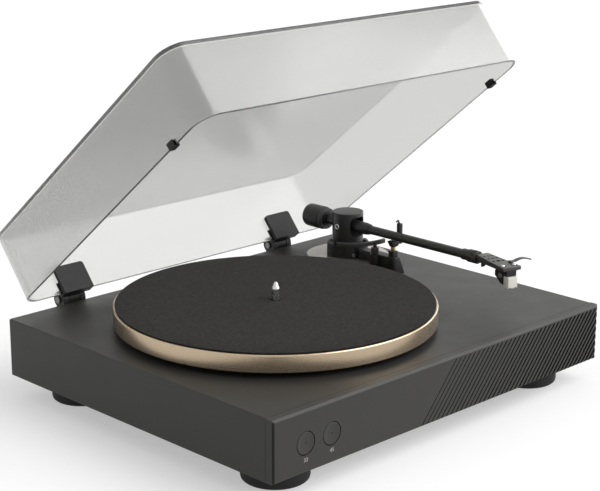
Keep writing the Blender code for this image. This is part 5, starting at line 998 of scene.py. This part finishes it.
class TURNTABLE_OT_headshell(bpy.types.Operator):
    """Make the perforated headshell and its finger lift"""

    bl_idname = "turntable.headshell"
    bl_label = "Headshell"

    def execute(self, context):
        def underside(reach, z):
            """Let the lower face rise evenly from 6.5 mm down at the rear to 3.4 mm down at the front."""
            bottom = -6.5 + (6.5 - 3.4) * np.clip(reach / SHELL_LENGTH, 0.0, 1.0)
            return np.where(z < -1.2, z + bottom + 3, z)

        body = slab("shell", (-10, -50, -3), (10, 3, 0), SHELL, 1.6, 0.4, shape=widened(0.0, underside))
        tools = [slab("hollow", (-10, -49, -6), (10, -5, -1.6), SHELL, 0.6, 0.1,
                      shape=widened(1.0, lambda reach, z: np.where(z < -3, -8.5, z)))]
        for reach, side_radius, centre_radius in ((7.5, 1.3, 1.3), (16, 1.5, 1.6), (25.5, 1.6, 2.3)):
            side = 2 * shell_half(reach) * 0.29
            tools += [rod(radius, -2.6, 1, SHELL @ shift(x, -reach)) for x, radius in
                      ((-side, side_radius), (side, side_radius), (0.0, centre_radius))]
        for x in (-SCREW_ACROSS, SCREW_ACROSS):
            at = SHELL @ shift(x, -SCREW_REACH)
            tools += [rod(1.2, -2.6, 1, at),
                      turned("recess", [(0, -1), (2.9, -1), (2.9, 0.2), (3.2, 1), (0, 1)], at, 40, 0.0)]
        fuse(body, tools)
        plug = rod(4.5, -11.5, 5.2, SHELL @ turn(-SHELL_TURN, 2) @ shift(0.0, 0.0, -SHELL_RISE)
                   @ FACING_FRONT, 64)
        web = prism("web", [(2.5, -5), (2.5, -13), (0.8, -13), (-8, -6), (-8, -5)], -1.2, 1.2, SHELL, 0.4, 0.2)
        fuse(body, [plug, web], "UNION")
        fuse(body, [rod(1, -4, 4, SHELL @ shift(0.0, 0.6, -10.7) @ FACING_RIGHT)])
        body.name = "headshell_plate"
        dress(body, "shell black", "arm", "satin_black", "headshell")
        lift_reach, points = 35.0, 33
        share = np.linspace(0.0, 1.0, points)
        rise = 1.8 * np.sin(math.pi * np.maximum(0.0, share - 0.23) / 0.70)
        path = np.column_stack([shell_half(lift_reach) - 3 + 24 * share, np.full(points, -lift_reach), 0.9 + rise])
        lift = swept("finger_lift_bent", path, outline(2.75, 0.6, 0.5, 4), SHELL, width=1 - 0.45 * share)
        dress(lift, "shell black", "arm", "satin_black", "finger_lift")
        return {"FINISHED"}


class TURNTABLE_OT_cartridge(bpy.types.Operator):
    """Make the cartridge, its stylus unit and its screws"""

    bl_idname = "turntable.cartridge"
    bl_label = "Cartridge"

    def execute(self, context):
        places = {side: SHELL @ shift(x, -SCREW_REACH) for side, x in (("left", -SCREW_ACROSS),
                                                                       ("right", SCREW_ACROSS))}
        flange = slab("flange", (-10, -47, -4.7), (10, -30, -1.9), SHELL, 0.8, 0.3, shape=widened(1.3))
        nose = slab("nose", (-5.5, -49, -9.2), (5.5, -30, -3.3), SHELL, 0.6, 0.3)
        keel = prism("keel", [(-43, -7), (-43, -18.5), (-38.5, -18.5), (-28, -12.2), (-28, -7)], -5.2, 5.2, SHELL,
                     0.7, 0.4)
        fuse(flange, [nose, keel], "UNION")
        groove = slab("groove", (-6, -49.5, -6.8), (6, -48.4, -6.2), SHELL, 0.0, 0.1)
        fuse(flange, [*[rod(1.2, -6.7, 0.1, at) for at in places.values()], groove])
        flange.name = "cartridge_body"
        dress(flange, "black plastic", "arm", "black_plastic", "cartridge")
        clip = slab("cartridge_clip", (-5.5, -40.5, -12.8), (-5, -34.5, -7.8), SHELL, 0.4, 0.1)
        dress(clip, "steel", "arm", "steel")
        cap = slab("stylus_cap", (-5.5, -51.5, -20.4), (5.5, -43.3, -9.5), SHELL, 1.1, 0.4)
        notches = [slab("notch", (x - 1.1, -52, -21.2), (x + 1.1, -49, -19.4), SHELL, 0.0, 0.1) for x in (-3.2, 3.2)]
        fuse(cap, [*notches, slab("slot", (-1.1, -50.3, -21.2), (1.1, -46, -20), SHELL, 0.2, 0.1)])
        dress(cap, "white cap", "arm", "white_plastic", "stylus")
        lathe("stylus_needle", [(0, -21.1), (0.5, -21.1), (0.9, -20.6), (0.9, -19.9), (0, -19.9)],
              SHELL @ shift(0.0, -49.5), 24, 0.1, "black plastic", "arm", "black_plastic")
        for side, at in places.items():
            profile = [(0, 1.1), (1.5, 1.1), (2.1, 0.5), (2.1, -0.7), (1, -0.7), (1, -5.6), (0, -5.6)]
            lathe("cartridge_screw_%s_turned" % side, profile, at, 40, 0.2, "steel", "arm", "steel",
                  "cartridge_screw_" + side, notch=((-2.5, -0.3, 0.5), (2.5, 0.3, 2)))
        return {"FINISHED"}


class TURNTABLE_OT_counterweight(bpy.types.Operator):
    """Turn the stub, the sleeve, the force dial and the weight"""

    bl_idname = "turntable.counterweight"
    bl_label = "Counterweight"

    def execute(self, context):
        lathe("stub_turned", [(0, 52), (4.9, 52), (4.9, 7.3), (0, 7.3)], BACKWARD, 64, 0.4, "arm black", "arm",
              "satin_black", "counterweight_shaft")
        lathe("sleeve_turned", [(7, 49.8), (7, 29.3), (7.3, 29.3), (7.3, 27.8), (5.2, 27.8), (5.2, 49.8)], BACKWARD,
              64, 0.2, "black plastic", "weight_sleeve", "black_plastic", "counterweight_sleeve", loop=True)
        depth = MM * context.scene.turntable_sizes.grip_depth
        lathe("force_dial_turned", [(11.5, 34.2), (11.5, 34, depth), (11.5, 31.6, depth), (11.5, 31.4), (11, 29.6),
                                    (7.3, 29.6), (7.3, 34.2)], BACKWARD, 360, 0.1, "dial", "force_dial", "grey_plate",
              "force_dial", loop=True, ridges=60)
        lathe("weight_turned", [(12.1, 56.7), (12.1, 36.7), (11.7, 36.4), (11.7, 35.9), (12.1, 35.6), (12.1, 34.5),
                                (7.3, 34.5), (7.3, 56.7)], BACKWARD, 160, [3.6, 0.1, 0.1, 0.1, 0.1, 0.3, 0.3, 0.4],
              "arm black", "counterweight", "satin_black", "counterweight", loop=True)
        return {"FINISHED"}


class TURNTABLE_OT_lift(bpy.types.Operator):
    """Make the cueing lift: its cylinder, the curved bar and the lever"""

    bl_idname = "turntable.lift"
    bl_label = "Cueing lift"

    def execute(self, context):
        lathe("lift_cylinder_turned", [(0, 19.6), (2.1, 19.6), (2.1, 25.1), (4, 25.1), (4, 18.6), (0, 18.6)], LIFT,
              64, 0.3, "arm black", "base", "satin_black", "lift_cylinder")
        level, points = 29.85, 49
        sweep = math.radians(-150) + np.linspace(0.0, math.radians(66), points)
        path = np.column_stack([LIFT_REACH * np.cos(sweep), LIFT_REACH * np.sin(sweep), np.full(points, level)])
        bar = swept("bar", path, outline(1.5, 2.25, 0.6, 4), DECK)
        fuse(bar, [rod(1.8, 19.9, 29.8, LIFT, 48)], "UNION")
        bar.name = "lift_bar_bent"
        dress(bar, "arm black", "lift_bar", "satin_black", "lift_bar")
        axis = LEVER @ FACING_RIGHT
        disc = turned("disc", [(0, 9), (1.75, 9), (1.75, 11.5), (0, 11.5)], axis, 48, 0.3)
        arm = slab("arm", (9.15, -19, -0.875), (11.35, 0, 0.875), LEVER, 0.4, 0.3)
        pad = rod(2.8, 9, 11.5, LEVER @ shift(0.0, -19.0) @ FACING_RIGHT, 48, 0.4)
        fuse(disc, [arm, pad, rod(1.5, -2.2, 10.2, axis)], "UNION")
        disc.name = "cue_lever_bent"
        dress(disc, "arm black", "cue_lever", "satin_black", "cue_lever")
        return {"FINISHED"}


class TURNTABLE_OT_rest(bpy.types.Operator):
    """Make the arm rest, the screw it stands on and its clip"""

    bl_idname = "turntable.rest"
    bl_label = "Arm rest"

    def execute(self, context):
        def funnel(points):
            """Narrow the cradle towards its foot."""
            share = np.clip((34.4 - points[..., 2]) / 6.2, 0.0, 1.0)
            points[..., 0] *= 1 - 0.55 * share
            points[..., 1] *= 1 - 0.275 * share
            return points

        cradle = slab("cradle", (-5.75, -3.5, 28.2), (9.3, 3.5, 34.4), REST, 0.6, 0.3, shape=funnel)
        fuse(cradle, [rod(3, 29.95, 50.9, REST @ shift(9.3), 64, 0.4)], "UNION")
        fuse(cradle, [rod(2, 26.2, 30.4, REST),
                      slab("slot", (3.3, -1.1, 47.9), (15.3, 1.1, 52.9), REST, 0.0, HAIR)])
        cradle.name = "arm_rest_cradle"
        dress(cradle, "arm black", "base", "satin_black", "arm_rest")
        lathe("rest_screw_turned", [(0, 30.1), (1.7, 30.1), (1.7, 27.9), (2.7, 27.9), (2.7, 25.5), (1.7, 25.5),
                                    (1.7, 18.7), (0, 18.7)], REST, 48, 0.2, "brass", "base", "brass", "rest_screw")
        paint("arm black", "arm_clip")
        soften(0.2, "arm_clip")
        return {"FINISHED"}


class TURNTABLE_OT_skate_knob(bpy.types.Operator):
    """Turn the anti-skating knob"""

    bl_idname = "turntable.skate_knob"
    bl_label = "Anti-skating knob"

    def execute(self, context):
        depth = MM * context.scene.turntable_sizes.grip_depth
        profile = [(0, 27.6), (4.2, 27.6), (4.6, 27.8), (5, 27.2), (5, 27, depth), (5, 22.4, depth), (5, 22.2),
                   (4.8, 21.8), (1.5, 21.8), (1.5, 16.5), (0, 16.5)]
        lathe("skate_knob_turned", profile, KNOB, 216, 0.1, "knob", "anti_skate_knob", "satin_black",
              "anti_skate_knob", ridges=36, notch=((-5.2, -0.3, 27.2), (-1.7, 0.3, 29)))
        return {"FINISHED"}


# Stage, in metres

WHITE = (1.0, 1.0, 1.0, 1.0)
IMAGE_WIDTH, FOCAL_PIXELS, SENSOR_WIDTH = 600.0, 1644.44, 36.0
CAMERA_PLACE, CAMERA_HEADING, CAMERA_DIP, CAMERA_ROLL = (-1.04483, -1.07283, 0.55994), -0.776894, 0.275170, 0.001977


class TURNTABLE_OT_stage(bpy.types.Operator):
    """Lay the floor, hang the lamps and place the camera"""

    bl_idname = "turntable.stage"
    bl_label = "Floor, light and camera"

    def execute(self, context):
        stage = context.scene.turntable_stage
        self.floor(tuple(stage.floor), stage.glow)
        self.surroundings(stage.sky)
        self.lamp("key_lamp", (0.50, -0.62, 0.60), 60, stage.key)
        self.lamp("side_lamp", (0.97, 0.10, 0.15), 40, 0.3 * stage.key)
        self.camera()
        context.scene.view_settings.view_transform = "Standard"
        return {"FINISHED"}

    def floor(self, colour, glow):
        """Lay a flat sheet, 12 m across, as a grid of points; what looks at it also sees an even glow."""
        count = 13
        across = np.linspace(-6.0, 6.0, count)
        x, y = np.meshgrid(across, across, indexing="ij")
        index = np.arange(count * count).reshape(count, count)
        quads = np.stack([index[:-1, :-1], index[1:, :-1], index[1:, 1:], index[:-1, 1:]], -1).reshape(-1, 4)
        mesh = bpy.data.meshes.new("floor")
        mesh.from_pydata(np.column_stack([x.ravel(), y.ravel(), np.zeros(count * count)]), [], quads.tolist())
        floor = put("floor", mesh)
        material, tree, shader, place = start_material("pale floor", colour)
        fill(tree, shader, {"Base Color": (*colour, 1.0), "Specular IOR Level": 0.0, "Emission Color": WHITE,
                            "Roughness": remap(tree, noise(tree, place, 3.0, 2.0), 0.0, 1.0, 0.8, 0.9),
                            "Emission Strength": calc(tree, "MULTIPLY", self.seen(tree), glow)})
        mesh.materials.append(material)

    def surroundings(self, level):
        """Light evenly from all round; the camera, gloss and clear pieces see plain white there."""
        world = bpy.data.worlds.new("surroundings")
        bpy.context.scene.world = world
        world.use_nodes = True
        tree = world.node_tree
        fill(tree, tree.nodes["Background"], {
            "Color": WHITE, "Strength": remap(tree, self.seen(tree), 0.0, 1.0, level, 1.0)})

    def seen(self, tree):
        """Give 1 for what the camera, a reflection or a clear piece looks at, and 0 for plain light."""
        path = tree.nodes.new("ShaderNodeLightPath").outputs
        either = calc(tree, "MAXIMUM", path["Is Camera Ray"], path["Is Glossy Ray"])
        either = calc(tree, "MAXIMUM", either, path["Is Transmission Ray"])
        return calc(tree, "MULTIPLY", either, calc(tree, "LESS_THAN", path["Diffuse Depth"], 0.5))

    def lamp(self, name, towards, spread, level):
        """Hang a broad, far lamp in a direction; its light has the same strength everywhere."""
        light = bpy.data.lights.new(name, "SUN")
        light.energy = level
        light.angle = math.radians(spread)
        put(name, light).rotation_euler = (-Vector(towards)).to_track_quat("-Z", "Y").to_euler()

    def camera(self):
        """Place the camera where the picture was taken from."""
        data = bpy.data.cameras.new("camera")
        data.sensor_width = SENSOR_WIDTH
        data.lens = FOCAL_PIXELS * SENSOR_WIDTH / IMAGE_WIDTH
        data.clip_start, data.clip_end = 0.05, 50.0
        camera = put("camera", data)
        camera.matrix_world = Matrix((shift(*CAMERA_PLACE) @ turn(CAMERA_HEADING, 2)
                                      @ turn(math.pi / 2 - CAMERA_DIP, 0) @ turn(CAMERA_ROLL, 2)).tolist())
        bpy.context.scene.camera = camera


STEPS = (TURNTABLE_OT_plinth, TURNTABLE_OT_feet, TURNTABLE_OT_platter, TURNTABLE_OT_mat, TURNTABLE_OT_drive,
         TURNTABLE_OT_buttons, TURNTABLE_OT_terminals, TURNTABLE_OT_cover, TURNTABLE_OT_hinges, TURNTABLE_OT_arm_base,
         TURNTABLE_OT_arm_housing, TURNTABLE_OT_arm_tube, TURNTABLE_OT_headshell, TURNTABLE_OT_cartridge,
         TURNTABLE_OT_counterweight, TURNTABLE_OT_lift, TURNTABLE_OT_rest, TURNTABLE_OT_skate_knob,
         TURNTABLE_OT_stage)


class TURNTABLE_PT_panel(bpy.types.Panel):
    """Lists the turntable's steps and settings"""

    bl_label = "Turntable"
    bl_idname = "TURNTABLE_PT_panel"
    bl_space_type = "VIEW_3D"
    bl_region_type = "UI"
    bl_category = "Turntable"

    def draw(self, context):
        layout = self.layout
        for label in SETTINGS:
            group = getattr(context.scene, label)
            box = layout.box()
            for key in group.__annotations__:
                box.prop(group, key)
        for step in STEPS:
            layout.operator(step.bl_idname)


SETTINGS = {"turntable_finish": TurntableFinish, "turntable_sizes": TurntableSizes, "turntable_stage": TurntableStage}
CLASSES = (*SETTINGS.values(), *STEPS, TURNTABLE_PT_panel)


def register():
    """Register the classes and hang the settings on the scene."""
    for item in CLASSES:
        bpy.utils.register_class(item)
    for label, group in SETTINGS.items():
        setattr(bpy.types.Scene, label, bpy.props.PointerProperty(type=group))


def unregister():
    """Take the settings and the classes away again."""
    for label in SETTINGS:
        delattr(bpy.types.Scene, label)
    for item in reversed(CLASSES):
        bpy.utils.unregister_class(item)


def main():
    """Run every step in order."""
    register()
    for step in STEPS:
        category, name = step.bl_idname.split(".")
        getattr(getattr(bpy.ops, category), name)()


if __name__ == "__main__":
    main()
